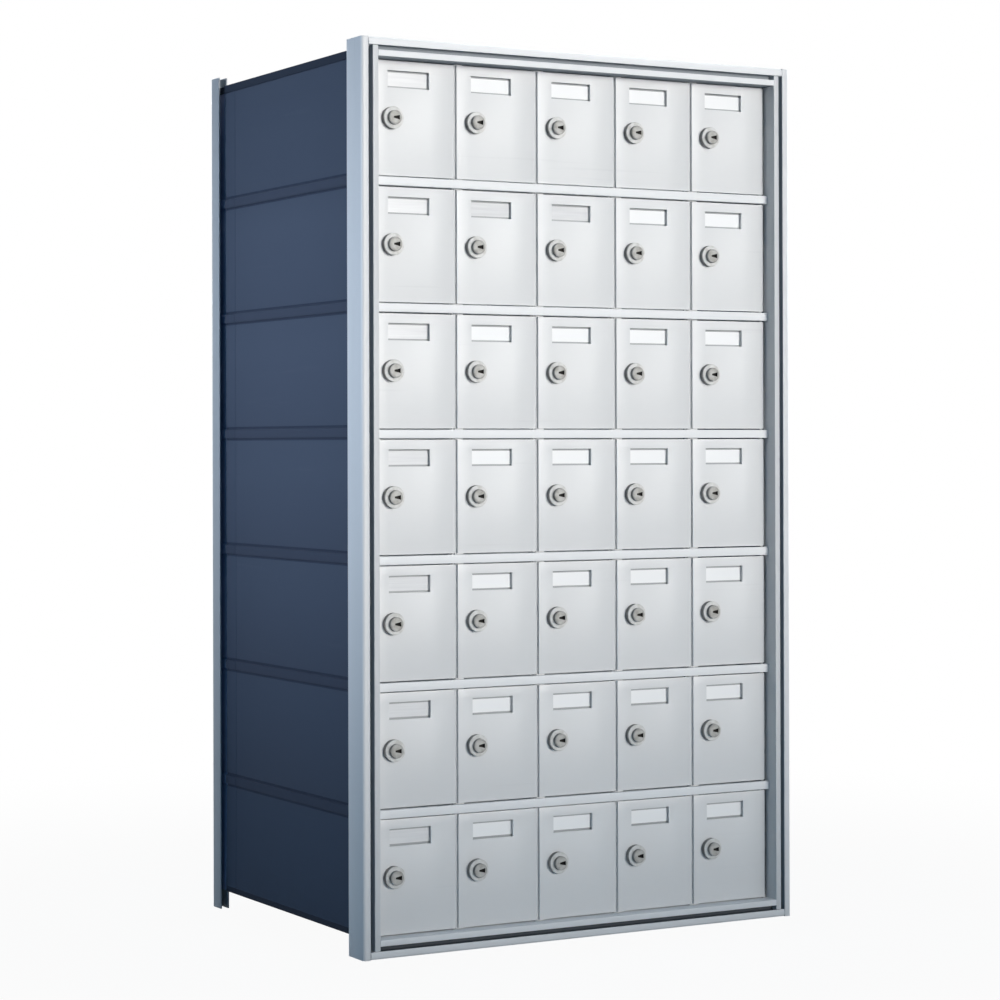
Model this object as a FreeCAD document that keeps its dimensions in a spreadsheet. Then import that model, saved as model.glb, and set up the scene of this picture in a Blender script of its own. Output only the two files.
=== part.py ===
"""Horizontal mailbox: a bank of small locked doors in an aluminium front frame, open at the back."""
import FreeCAD
import Part
import Sketcher
import math
import os
import re

COLUMNS = 5
ROWS = 7

# Small turned pieces and bores that repeat are many-sided
LOCK_HEAD_SIDES = 10
LOCK_BARREL_SIDES = 6
HALF_FLAT = f"{math.tan(math.pi / 8):.6f}"
PLUG_BORE_FLATS = f"{1 / math.cos(math.pi / LOCK_HEAD_SIDES):.6f}"

# Lengths that differ by less than this are the same
SAME_PLACE = 1e-6

# Driving sizes in millimetres
SIZES = {
    # Front frame: stiles, header and sill share one profile
    "frame_face": 20.25,
    "frame_lip": 8.5,
    "groove_width": 5.0,
    "groove_depth": 9.0,
    "frame_wall": 1.8,
    "edge_round": 3.0,
    "cope_gap": 0.4,
    "frame_return": 36.0,
    "sill_seat": 46.0,
    # Cabinet
    "cabinet_depth": 400.0,
    "sheet_wall": 1.2,
    "divider_wall": 1.0,
    "panel_inset": 8.0,
    "panel_end_gap": 2.0,
    "lap_height": 9.0,
    "lap_gap": 0.3,
    "top_inset": 9.5,
    "hem_height": 8.0,
    "shelf_back_gap": 4.0,
    "divider_back_gap": 6.0,
    "upright_depth": 22.0,
    "upright_wall": 1.8,
    "sheet_fit": 0.3,
    # Doors and the gaps around them
    "door_width": 100.2,
    "door_height": 124.0,
    "door_thickness": 3.0,
    "door_recess": 18.0,
    "column_gap": 2.0,
    "row_gap": 1.25,
    "stop_clearance": 0.3,
    # Rails between the rows, mullions behind the doors
    "rail_height": 9.5,
    "rail_proud": 4.0,
    "rail_face": 2.0,
    "rail_wall": 1.5,
    "mullion_lead": 1.5,
    "mullion_overlap": 9.0,
    "mullion_depth": 12.0,
    "mullion_wall": 1.5,
    # Hinge rods
    "rod_diameter": 3.0,
    "rod_end": 3.0,
    "rod_clearance": 0.1,
    "barrel_diameter": 6.0,
    "hinge_clearance": 0.06,
    # Card window and the card holder behind it
    "window_width": 50.4,
    "window_height": 18.5,
    "window_from_edge": 18.0,
    "window_from_top": 10.5,
    "holder_wall": 0.8,
    "holder_space": 1.5,
    "holder_end": 3.0,
    "holder_lap": 4.0,
    # Cam lock
    "lock_from_edge": 22.5,
    "lock_flange": 24.0,
    "lock_flange_wall": 6.0,
    "lock_head": 15.5,
    "lock_proud": 10.5,
    "lock_barrel": 19.0,
    "lock_length": 16.0,
    "lock_hole_fit": 0.2,
    "plug_diameter": 12.0,
    "plug_flats": 9.0,
    "plug_clearance": 0.05,
    "keyway_length": 6.5,
    "keyway_width": 2.4,
    "keyway_depth": 3.0,
    "cam_tail": 5.0,
    "cam_reach": 20.0,
    "cam_width": 9.0,
    "cam_wall": 1.6,
}

# Derived places, from the left edge, the front and the floor
COLUMN_PITCH = "(door_width + column_gap)"
ROW_PITCH = "(door_height + 2 * row_gap + rail_height)"
WIDTH = f"(2 * frame_face + {COLUMNS} * {COLUMN_PITCH} + column_gap)"
HEIGHT = f"(2 * frame_face + {ROWS} * {ROW_PITCH} - rail_height)"
STOP_FACE = "(door_recess + door_thickness + stop_clearance)"
MULLION_BACK = f"({STOP_FACE} + mullion_depth)"
HINGE_Y = "(door_recess + barrel_diameter / 2)"
RAIL_FRONT = "(door_recess - rail_proud)"
RAIL_BACK = f"({HINGE_Y} - rod_diameter / 2 - rod_clearance)"
NOTCH_BACK = f"({MULLION_BACK} + sheet_fit)"
FRAME_BACK = "(frame_return + sheet_fit)"
PANEL_INNER = "(panel_inset + sheet_wall)"
PANEL_OUTER = "(panel_inset - sheet_wall)"
PANEL_FRONT = "(groove_depth + frame_wall + sheet_fit)"
PANEL_BACK = "(cabinet_depth - panel_end_gap)"
UPRIGHT_FRONT = "(cabinet_depth - upright_depth - sheet_fit)"
UPRIGHT_INNER = f"({PANEL_INNER} + upright_wall + sheet_fit)"
SHELF_BACK = "(cabinet_depth - shelf_back_gap)"
STILE_CLEAR = "(frame_face + sheet_fit)"
COVER_TOP = f"({HEIGHT} - top_inset)"
COVER_UNDER = f"({COVER_TOP} - sheet_wall)"
FLOOR_TOP = "(frame_face + sheet_wall)"
LOCK_Z = "(door_height / 2)"

doc = FreeCAD.newDocument("mailbox")
sheet = doc.addObject("Spreadsheet::Sheet", "Sizes")
for line, (alias, size) in enumerate(SIZES.items(), start=1):
    sheet.set(f"A{line}", alias)
    sheet.set(f"B{line}", str(size))
    sheet.setAlias(f"B{line}", alias)
doc.recompute()


def formula(text):
    """Expression in which each size's name points at its cell."""
    return re.sub(r"[a-z][a-z_]*", lambda word: f"Sizes.{word.group()}", text)


def number(text):
    """Present value of an expression."""
    return float(sheet.evalExpression(formula(text)))


def bind(item, **expressions):
    """Tie properties of an object to expressions: double underscores stand for dots."""
    for name, text in expressions.items():
        item.setExpression(name.replace("__", "."), formula(text))


def column_left(column):
    """Left edge of a column of doors."""
    return f"(frame_face + column_gap + {column - 1} * {COLUMN_PITCH})"


def hinge_x(column):
    """Axis of a column's hinge rod."""
    return f"({column_left(column)} + door_width - barrel_diameter / 2)"


def row_bottom(row):
    """Lower edge of a row of doors, row 1 at the top."""
    return f"(frame_face + row_gap + {ROWS - row} * {ROW_PITCH})"


def shelf_bottom(row):
    """Underside of the shelf below a row, on the lower leg of the row's rail."""
    return f"({rail_bottom(row)} + rail_wall)"


def rail_bottom(row):
    """Lower face of the rail below a row."""
    return f"(frame_face + {ROWS - row} * {ROW_PITCH} - rail_height)"


def room_floor(row):
    """Upper face of what a row's letters lie on."""
    if row == ROWS:
        return FLOOR_TOP
    return f"({shelf_bottom(row)} + sheet_wall)"


def room_ceiling(row):
    """Underside of what covers a row."""
    if row == 1:
        return COVER_UNDER
    return shelf_bottom(row - 1)


def mirrored(corners):
    """Same outline on the right-hand side of the cabinet."""
    return [(f"({WIDTH} - {x})", y) for x, y in corners]


def as_drawn(corners):
    """Same outline where it was drawn."""
    return corners


def new_sketch(body, name, role, start):
    """Sketch on one of the body's planes, moved along the plane's axis to start."""
    sketch = body.newObject("Sketcher::SketchObject", name)
    plane = next(item for item in body.Origin.OriginFeatures if item.Role == role)
    sketch.AttachmentSupport = (plane, [""])
    sketch.MapMode = "FlatFace"
    lift = f"-({start})" if role == "XZ_Plane" else start
    bind(sketch, AttachmentOffset__Base__z=lift)
    return sketch


def draw_polygon(sketch, corners):
    """Closed outline whose corners are bound to expressions."""
    first = sketch.GeometryCount
    count = len(corners)
    places = [FreeCAD.Vector(number(x), number(y), 0) for x, y in corners]
    ends = places[1:] + places[:1]
    sketch.addGeometry([Part.LineSegment(start, end) for start, end in zip(places, ends)], False)
    joints = []
    for side in range(count):
        joints.append(Sketcher.Constraint("Coincident", first + side, 2, first + (side + 1) % count, 1))
    sketch.addConstraint(joints)
    for side, (x, y) in enumerate(corners):
        bind_distance(sketch, "DistanceX", first + side, 1, x)
        bind_distance(sketch, "DistanceY", first + side, 1, y)


def bind_distance(sketch, kind, item, point, text):
    """Distance of a sketch point from the origin, bound to an expression."""
    index = sketch.addConstraint(Sketcher.Constraint(kind, item, point, number(text)))
    sketch.setExpression(f"Constraints[{index}]", formula(text))


def octagon(x, y, reach):
    """Corners of an octagon with its flats at a distance from its middle."""
    half = f"({reach} * {HALF_FLAT})"
    steps = [
        (half, f"-{reach}"),
        (reach, f"-{half}"),
        (reach, half),
        (half, reach),
        (f"-{half}", reach),
        (f"-{reach}", half),
        (f"-{reach}", f"-{half}"),
        (f"-{half}", f"-{reach}"),
    ]
    return [(f"({x} + {across})", f"({y} + {along})") for across, along in steps]


def add_pad(body, sketch, length):
    """Solid from a sketch, along the positive axis of its plane."""
    pad = body.newObject("PartDesign::Pad", f"{sketch.Name}_pad")
    pad.Profile = sketch
    pad.Reversed = sketch.AttachmentSupport[0][0].Role == "XZ_Plane"
    bind(pad, Length=length)
    return pad


def add_pocket(body, sketch, depth):
    """Cut from a sketch, against its normal: downwards on XY planes, backwards on XZ planes."""
    pocket = body.newObject("PartDesign::Pocket", f"{sketch.Name}_pocket")
    pocket.Profile = sketch
    bind(pocket, Length=depth)
    return pocket


def profile(name, role, corners, start, length):
    """Body with one straight profile."""
    body = doc.addObject("PartDesign::Body", name)
    sketch = new_sketch(body, f"{name}_outline", role, start)
    draw_polygon(sketch, corners)
    add_pad(body, sketch, length)
    return body


def block(name, length, width, height, x="0", y="0", z="0"):
    """Plain box at a place."""
    box = doc.addObject("Part::Box", name)
    bind(box, Length=length, Width=width, Height=height)
    bind(box, Placement__Base__x=x, Placement__Base__y=y, Placement__Base__z=z)
    return box


def group(name, members, x="0", y="0", z="0"):
    """Members as one object of separate solids, moved to a place."""
    compound = doc.addObject("Part::Compound", name)
    compound.Links = members
    bind(compound, Placement__Base__x=x, Placement__Base__y=y, Placement__Base__z=z)
    return compound


def centred(item, label):
    """Label a sub-part and move it so that the origin is under the middle of the cabinet."""
    item.Label = label
    bind(item, Placement__Base__x=f"-{WIDTH} / 2", Placement__Base__y="-cabinet_depth / 2")
    return item


def frame_profile(inner_depth, leg=None):
    """Outline of the frame's profile, across its face from the outer edge and back from the front."""
    groove_end = "(frame_lip + groove_width)"
    groove_back = "(groove_depth + frame_wall)"
    corners = [
        ("0", "0"),
        ("frame_lip", "0"),
        ("frame_lip", "groove_depth"),
        (groove_end, "groove_depth"),
        (groove_end, "0"),
        ("frame_face", "0"),
        ("frame_face", inner_depth),
        ("(frame_face - frame_wall)", inner_depth),
        ("(frame_face - frame_wall)", "frame_wall"),
        (f"({groove_end} + frame_wall)", "frame_wall"),
        (f"({groove_end} + frame_wall)", groove_back),
    ]
    if leg:
        corners += [
            (f"({leg} + frame_wall)", groove_back),
            (f"({leg} + frame_wall)", "frame_return"),
            (leg, "frame_return"),
            (leg, groove_back),
        ]
    corners += [
        ("(frame_lip - frame_wall)", groove_back),
        ("(frame_lip - frame_wall)", "frame_wall"),
        ("frame_wall", "frame_wall"),
        ("frame_wall", "frame_return"),
        ("0", "frame_return"),
    ]
    return corners


def drill_rods(body, flange_top):
    """Holes for the hinge rods through a flange of the header or the sill."""
    sketch = new_sketch(body, f"{body.Name}_rod_holes", "XY_Plane", flange_top)
    for column in range(1, COLUMNS + 1):
        draw_polygon(sketch, octagon(hinge_x(column), HINGE_Y, "(rod_diameter / 2 + rod_clearance)"))
    add_pocket(body, sketch, "frame_wall")


def round_edge(body, on_line):
    """Round the edges of a body whose ends both lie on a line."""
    doc.recompute()
    tip = body.Tip
    edges = []
    for place, edge in enumerate(tip.Shape.Edges, start=1):
        if all(on_line(corner.Point) for corner in edge.Vertexes):
            edges.append(f"Edge{place}")
    fillet = body.newObject("PartDesign::Fillet", f"{body.Name}_round")
    fillet.Base = (tip, edges)
    bind(fillet, Radius="edge_round")


def same(first, second):
    """Whether two lengths agree."""
    return abs(first - second) < SAME_PLACE


def cope_stile(body, place_outline):
    """Cut the inner lip back at both ends, where the header's and the sill's outer lips run through."""
    cope = "(frame_lip + cope_gap)"
    sketch = new_sketch(body, f"{body.Name}_copes", "XZ_Plane", "0")
    for low, high in (("0", cope), (f"({HEIGHT} - {cope})", HEIGHT)):
        corners = [("frame_lip", low), ("frame_face", low), ("frame_face", high), ("frame_lip", high)]
        draw_polygon(sketch, place_outline(corners))
    add_pocket(body, sketch, "groove_depth")


def make_stiles():
    """Left and right stile, full height: the cabinet stands on them in front."""
    section = frame_profile(STOP_FACE, PANEL_INNER)
    left = profile("StileLeft", "XY_Plane", section, "0", HEIGHT)
    right = profile("StileRight", "XY_Plane", mirrored(section), "0", HEIGHT)
    cope_stile(left, as_drawn)
    cope_stile(right, mirrored)
    round_edge(left, lambda point: same(point.x, 0) and same(point.y, 0))
    round_edge(right, lambda point: same(point.x, number(WIDTH)) and same(point.y, 0))
    return [centred(left, "front_stile_left"), centred(right, "front_stile_right")]


def run_lip_through(body, place_outline):
    """Carry the outer lip of the header or the sill past both ends, up to the stiles' outer lips."""
    back = "(groove_depth - cope_gap)"
    lip = [
        ("0", "0"),
        (back, "0"),
        (back, "frame_wall"),
        ("frame_wall", "frame_wall"),
        ("frame_wall", "frame_lip"),
        ("0", "frame_lip"),
    ]
    length = "(frame_face - frame_lip - cope_gap)"
    for side, start in (("left", "(frame_lip + cope_gap)"), ("right", f"({WIDTH} - frame_face)")):
        sketch = new_sketch(body, f"{body.Name}_lip_{side}", "YZ_Plane", start)
        draw_polygon(sketch, place_outline(lip))
        add_pad(body, sketch, length)


def hung(corners):
    """Outline back from the front and up from the floor, turned over to hang from the top."""
    return [(y, f"({HEIGHT} - {z})") for y, z in corners]


def make_header_and_sill():
    """Header and sill between the stiles: the same profile laid flat, coped at the corners."""
    span = f"({WIDTH} - 2 * frame_face)"
    upper = [(y, z) for z, y in frame_profile("frame_return", "(top_inset + sheet_wall)")]
    header = profile("Header", "YZ_Plane", hung(upper), "frame_face", span)
    run_lip_through(header, hung)
    drill_rods(header, f"({HEIGHT} - frame_face + frame_wall)")
    round_edge(header, lambda point: same(point.y, 0) and same(point.z, number(HEIGHT)))
    lower = [(y, z) for z, y in frame_profile("sill_seat")]
    sill = profile("Sill", "YZ_Plane", lower, "frame_face", span)
    run_lip_through(sill, as_drawn)
    drill_rods(sill, "frame_face")
    round_edge(sill, lambda point: same(point.y, 0) and same(point.z, 0))
    return [centred(header, "front_header"), centred(sill, "front_sill")]


def make_rails():
    """Channel-shaped rails between the rows, whose legs end at the hinge rods."""
    upper_leg = "(rail_height - rail_wall)"
    channel = [
        (RAIL_FRONT, "0"),
        (RAIL_BACK, "0"),
        (RAIL_BACK, "rail_wall"),
        (f"({RAIL_FRONT} + rail_face)", "rail_wall"),
        (f"({RAIL_FRONT} + rail_face)", upper_leg),
        (RAIL_BACK, upper_leg),
        (RAIL_BACK, "rail_height"),
        (RAIL_FRONT, "rail_height"),
    ]
    rail = profile("Rail", "YZ_Plane", channel, "frame_face", f"({WIDTH} - 2 * frame_face)")
    rails = [group(f"Rail{row}", [rail], z=rail_bottom(row)) for row in range(1, ROWS)]
    return [centred(group("Rails", rails), "door_rails")]


def make_mullions():
    """Channels behind the doors' lock edges: door stop in front, strike for the cams behind."""
    mullions = []
    for column in range(1, COLUMNS + 1):
        left = "(frame_face - frame_wall)" if column == 1 else f"({column_left(column)} - mullion_lead)"
        right = f"({column_left(column)} + mullion_overlap)"
        channel = [
            (left, STOP_FACE),
            (right, STOP_FACE),
            (right, MULLION_BACK),
            (f"({right} - mullion_wall)", MULLION_BACK),
            (f"({right} - mullion_wall)", f"({STOP_FACE} + mullion_wall)"),
            (f"({left} + mullion_wall)", f"({STOP_FACE} + mullion_wall)"),
            (f"({left} + mullion_wall)", MULLION_BACK),
            (left, MULLION_BACK),
        ]
        tall = f"({HEIGHT} - 2 * frame_face)"
        mullions.append(profile(f"Mullion{column}", "XY_Plane", channel, "frame_face", tall))
    return [centred(group("Mullions", mullions), "mullions")]


def make_rods():
    """One hinge rod per column, standing on the sill and ending above the header's flange."""
    rods = []
    for column in range(1, COLUMNS + 1):
        rod = doc.addObject("Part::Cylinder", f"Rod{column}")
        bind(rod, Radius="rod_diameter / 2", Height=f"{HEIGHT} - frame_face + rod_end")
        bind(rod, Placement__Base__x=hinge_x(column), Placement__Base__y=HINGE_Y)
        bind(rod, Placement__Base__z="frame_wall")
        rods.append(rod)
    return [centred(group("Rods", rods), "hinge_rods")]


def plate_outline(front_edge, side):
    """Outline of a cover, pan or shelf: narrow between the stiles and the uprights, wide between them."""
    right_side = [
        (STILE_CLEAR, FRAME_BACK),
        (side, FRAME_BACK),
        (side, UPRIGHT_FRONT),
        (UPRIGHT_INNER, UPRIGHT_FRONT),
        (UPRIGHT_INNER, SHELF_BACK),
    ]
    return front_edge + mirrored(right_side) + right_side[::-1]


def straight_front(place):
    """Straight front edge of a plate, from stile to stile."""
    return [(STILE_CLEAR, place), (f"({WIDTH} - {STILE_CLEAR})", place)]


def make_shelves():
    """Shelves with tabs that lie in the rails, clear of mullions and rods, and a hem at the back."""
    tab_front = f"({RAIL_FRONT} + rail_face + sheet_fit)"
    edge = [(STILE_CLEAR, NOTCH_BACK)]
    for column in range(1, COLUMNS + 1):
        left = f"({column_left(column)} + mullion_overlap + sheet_fit)"
        right = f"({hinge_x(column)} - barrel_diameter / 2)"
        edge += [(left, NOTCH_BACK), (left, tab_front), (right, tab_front), (right, NOTCH_BACK)]
    edge.append((f"({WIDTH} - {STILE_CLEAR})", NOTCH_BACK))
    side = f"({PANEL_INNER} + sheet_fit)"
    shelf = profile("Shelf", "XY_Plane", plate_outline(edge, side), "0", "sheet_wall")
    hem = new_sketch(shelf, "Shelf_hem", "XZ_Plane", f"({SHELF_BACK} - sheet_wall)")
    corners = [(UPRIGHT_INNER, "-hem_height"), (UPRIGHT_INNER, "0")]
    draw_polygon(hem, corners + mirrored(corners)[::-1])
    add_pad(shelf, hem, "sheet_wall")
    shelves = [group(f"Shelf{row}", [shelf], z=shelf_bottom(row)) for row in range(1, ROWS)]
    return [centred(group("Shelves", shelves), "shelves")]


def make_dividers():
    """Upright sheets between the columns, standing on the shelves."""
    dividers = []
    for row in range(1, ROWS + 1):
        for column in range(2, COLUMNS + 1):
            middle = f"({column_left(column)} - column_gap / 2)"
            back = "(cabinet_depth - divider_back_gap)"
            tall = f"({room_ceiling(row)} - {room_floor(row)})"
            divider = block(
                f"Divider{row}_{column}", "divider_wall", f"({back} - {FRAME_BACK})", tall,
                f"({middle} - divider_wall / 2)", FRAME_BACK, room_floor(row))
            dividers.append(divider)
    return [centred(group("Dividers", dividers), "dividers")]


def panel_bottom(row):
    """Lower edge of a tier of side sheet."""
    if row == ROWS:
        return FLOOR_TOP
    return shelf_bottom(row)


def panel_section(row):
    """Section of a side sheet: a lap strip below, set out over the sheet of the tier beneath."""
    bottom = panel_bottom(row)
    bend = f"({bottom} + lap_height)"
    top = COVER_UNDER if row == 1 else f"({panel_bottom(row - 1)} + lap_height - lap_gap)"
    return [
        (PANEL_OUTER, bottom),
        ("panel_inset", bottom),
        ("panel_inset", bend),
        (PANEL_INNER, bend),
        (PANEL_INNER, top),
        ("panel_inset", top),
        ("panel_inset", f"({bend} + sheet_wall)"),
        (PANEL_OUTER, f"({bend} + sheet_wall)"),
    ]


def make_side_panels():
    """Seven lapped tiers of sheet on each side, between the stile's legs and the upright's."""
    left = []
    right = []
    length = f"({PANEL_BACK} - {PANEL_FRONT})"
    for row in range(1, ROWS + 1):
        section = panel_section(row)
        left.append(profile(f"PanelLeft{row}", "XZ_Plane", section, PANEL_FRONT, length))
        right.append(profile(f"PanelRight{row}", "XZ_Plane", mirrored(section), PANEL_FRONT, length))
    return [
        centred(group("PanelsLeft", left), "side_panels_left"),
        centred(group("PanelsRight", right), "side_panels_right"),
    ]


def add_flanges(plate, near, far, low, high, start, length):
    """Bent edges on both sides of a cover or pan."""
    sketch = new_sketch(plate, f"{plate.Name}_flanges", "XZ_Plane", start)
    corners = [(near, low), (far, low), (far, high), (near, high)]
    draw_polygon(sketch, corners)
    draw_polygon(sketch, mirrored(corners))
    add_pad(plate, sketch, length)


def make_cover_and_floor():
    """Top cover, hemmed down over the side sheets, and floor pan, turned up inside them."""
    outline = plate_outline(straight_front(PANEL_FRONT), PANEL_OUTER)
    cover = profile("Cover", "XY_Plane", outline, COVER_UNDER, "sheet_wall")
    hem_low = f"({COVER_TOP} - lap_height)"
    add_flanges(cover, PANEL_OUTER, "panel_inset", hem_low, COVER_UNDER, PANEL_FRONT,
                f"({PANEL_BACK} - {PANEL_FRONT})")
    outline = plate_outline(straight_front(NOTCH_BACK), "panel_inset")
    floor = profile("Floor", "XY_Plane", outline, "frame_face", "sheet_wall")
    flange_high = f"({FLOOR_TOP} + hem_height)"
    add_flanges(floor, "panel_inset", PANEL_INNER, FLOOR_TOP, flange_high, FRAME_BACK,
                f"({UPRIGHT_FRONT} - {FRAME_BACK})")
    return [centred(cover, "top_cover"), centred(floor, "floor_pan")]


def make_uprights():
    """Rear uprights: channels open to the front, over the ends of the side sheets, and feet below."""
    front = "(cabinet_depth - upright_depth)"
    web = "(cabinet_depth - upright_wall)"
    inner = f"({PANEL_INNER} + upright_wall)"
    channel = [
        ("0", front),
        ("upright_wall", front),
        ("upright_wall", web),
        (PANEL_INNER, web),
        (PANEL_INNER, front),
        (inner, front),
        (inner, "cabinet_depth"),
        ("0", "cabinet_depth"),
    ]
    left = profile("UprightLeft", "XY_Plane", channel, "0", HEIGHT)
    right = profile("UprightRight", "XY_Plane", mirrored(channel), "0", HEIGHT)
    return [centred(left, "rear_upright_left"), centred(right, "rear_upright_right")]


def leaf_section():
    """Outline of a door leaf: a flat sheet whose hinge edge is a barrel, flush in front."""
    radius = "(barrel_diameter / 2)"
    barrel = octagon(f"(door_width - {radius})", radius, radius)
    start = [("0", "door_thickness"), ("0", "0")]
    return start + barrel[:6] + [("(door_width - barrel_diameter)", "door_thickness")]


def lock_prism(name, sides, diameter, front, length):
    """Many-sided turned piece of the lock, along the lock's axis."""
    prism = doc.addObject("Part::Prism", name)
    prism.Polygon = sides
    prism.Placement.Rotation = FreeCAD.Rotation(FreeCAD.Vector(1, 0, 0), -90)
    bind(prism, Circumradius=f"({diameter}) / 2", Height=length)
    bind(prism, Placement__Base__x="lock_from_edge", Placement__Base__y=front, Placement__Base__z=LOCK_Z)
    return prism


def lock_cylinder(name, diameter, front, length):
    """Round turned piece of the lock, along the lock's axis."""
    cylinder = doc.addObject("Part::Cylinder", name)
    cylinder.Placement.Rotation = FreeCAD.Rotation(FreeCAD.Vector(1, 0, 0), -90)
    bind(cylinder, Radius=f"({diameter}) / 2", Height=length)
    bind(cylinder, Placement__Base__x="lock_from_edge", Placement__Base__y=front, Placement__Base__z=LOCK_Z)
    return cylinder


def cut(name, base, tool):
    """Base without tool."""
    result = doc.addObject("Part::Cut", name)
    result.Base = base
    result.Tool = tool
    return result


def fuse(name, members):
    """Members as one solid."""
    result = doc.addObject("Part::MultiFuse", name)
    result.Shapes = members
    result.Refine = True
    return result


def make_leaf():
    """Door leaf with its card window and the hole for the lock."""
    leaf = doc.addObject("PartDesign::Body", "Leaf")
    section = new_sketch(leaf, "Leaf_section", "XY_Plane", "0")
    draw_polygon(section, leaf_section())
    draw_polygon(section, octagon(
        "(door_width - barrel_diameter / 2)", "(barrel_diameter / 2)", "(rod_diameter / 2 + hinge_clearance)"))
    add_pad(leaf, section, "door_height")
    window = new_sketch(leaf, "Leaf_window", "XZ_Plane", "0")
    right = "(window_from_edge + window_width)"
    top = "(door_height - window_from_top)"
    low = f"({top} - window_height)"
    corners = [("window_from_edge", low), (right, low), (right, top), ("window_from_edge", top)]
    draw_polygon(window, corners)
    add_pocket(leaf, window, "door_thickness")
    hole = lock_prism("LockHole", LOCK_BARREL_SIDES, "lock_barrel + 2 * lock_hole_fit", "0", "door_thickness")
    return cut("LeafDrilled", leaf, hole)


def make_holder():
    """Channel behind the window that carries a name card."""
    low = "(door_height - window_from_top - window_height - holder_lap)"
    high = "(door_height - window_from_top + holder_lap)"
    back = "(door_thickness + holder_space + holder_wall)"
    web = "(door_thickness + holder_space)"
    channel = [
        ("door_thickness", low),
        (back, low),
        (back, high),
        ("door_thickness", high),
        ("door_thickness", f"({high} - holder_wall)"),
        (web, f"({high} - holder_wall)"),
        (web, f"({low} + holder_wall)"),
        ("door_thickness", f"({low} + holder_wall)"),
    ]
    start = "(window_from_edge - holder_end)"
    return profile("Holder", "YZ_Plane", channel, start, "(window_width + 2 * holder_end)")


def lock_case(prefix):
    """Collar and head in front of the door, barrel through it."""
    flange = lock_prism(
        f"{prefix}Flange", LOCK_HEAD_SIDES, "lock_flange", "-lock_flange_wall", "lock_flange_wall")
    head = lock_prism(f"{prefix}Head", LOCK_HEAD_SIDES, "lock_head", "-lock_proud", "lock_proud")
    barrel = lock_prism(f"{prefix}Barrel", LOCK_BARREL_SIDES, "lock_barrel", "0", "lock_length")
    return fuse(f"{prefix}Case", [flange, head, barrel])


def keyway(prefix):
    """Slot for the key in the face of the plug."""
    return block(
        f"{prefix}Keyway", "keyway_length", "keyway_depth", "keyway_width",
        "(lock_from_edge - keyway_length / 2)", "-lock_proud", f"({LOCK_Z} - keyway_width / 2)")


def cam(prefix):
    """Cam behind the lock, hanging down while the door is unlocked."""
    return block(
        f"{prefix}Cam", "cam_width", "cam_wall", "(cam_tail + cam_reach)",
        "(lock_from_edge - cam_width / 2)", "lock_length", f"({LOCK_Z} - cam_reach)")


def make_plug():
    """Turning plug: a cylinder with two flats, slotted for the key, with the cam on its tail."""
    length = "(lock_proud + lock_length)"
    shaft = lock_cylinder("PlugShaft", "plug_diameter", "-lock_proud", length)
    flats = block(
        "PlugFlats", "plug_diameter", length, "plug_flats",
        "(lock_from_edge - plug_diameter / 2)", "-lock_proud", f"({LOCK_Z} - plug_flats / 2)")
    ground = doc.addObject("Part::Common", "PlugGround")
    ground.Base = shaft
    ground.Tool = flats
    return fuse("Plug", [cut("PlugSlotted", ground, keyway("Plug")), cam("Plug")])


def make_doors():
    """All doors, each leaf with its holder and lock. The first column's plugs turn by themselves."""
    leaf = make_leaf()
    holder = make_holder()
    plain_lock = cut("PlainLock", lock_case("Plain"), keyway("Plain"))
    plain = [leaf, holder, plain_lock, cam("Plain")]
    bore = lock_prism(
        "PlugBore", LOCK_HEAD_SIDES, f"(plug_diameter + 2 * plug_clearance) * {PLUG_BORE_FLATS}",
        "-lock_proud", "(lock_proud + lock_length)")
    turning = [leaf, holder, cut("BoredLock", lock_case("Bored"), bore)]
    plug = make_plug()
    nodes = []
    for row in range(1, ROWS + 1):
        for column in range(1, COLUMNS + 1):
            members = turning if column == 1 else plain
            nodes.append(hang(f"door_r{row}_c{column}", members, row, column))
        nodes.append(hang(f"lock_plug_r{row}_c1", [plug], row, 1))
    return nodes


def hang(label, members, row, column):
    """Door, or a piece of it, at its place in the bank."""
    door = group(label, members)
    door.Label = label
    bind(door, Placement__Base__x=f"{column_left(column)} - {WIDTH} / 2")
    bind(door, Placement__Base__y="door_recess - cabinet_depth / 2", Placement__Base__z=row_bottom(row))
    return door


def make_all():
    """Every sub-part of the mailbox."""
    nodes = make_stiles() + make_header_and_sill()
    nodes += make_rails() + make_mullions() + make_rods()
    nodes += make_shelves() + make_dividers() + make_side_panels()
    nodes += make_cover_and_floor() + make_uprights()
    return nodes + make_doors()


def check(nodes):
    """Stop on any failed object or bad shape."""
    for item in doc.Objects:
        if "Invalid" in item.State or "Error" in item.State:
            raise RuntimeError(f"{item.Name} failed: {item.State}")
    for node in nodes:
        if node.Shape.isNull() or not node.Shape.isValid():
            raise RuntimeError(f"{node.Label} has no valid shape")


nodes = make_all()
doc.recompute()
check(nodes)
os.makedirs("parts", exist_ok=True)
for node in nodes:
    Part.makeCompound(node.Shape.Solids).exportStep(f"parts/{node.Label}.step")
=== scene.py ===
"""Looks of a bank of horizontal mailboxes: satin aluminium front, slate sheet sides, open back."""

import logging
import math
from collections.abc import Callable
from dataclasses import dataclass
from enum import Enum

import bmesh
import bpy
from mathutils import Matrix, Vector


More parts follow.
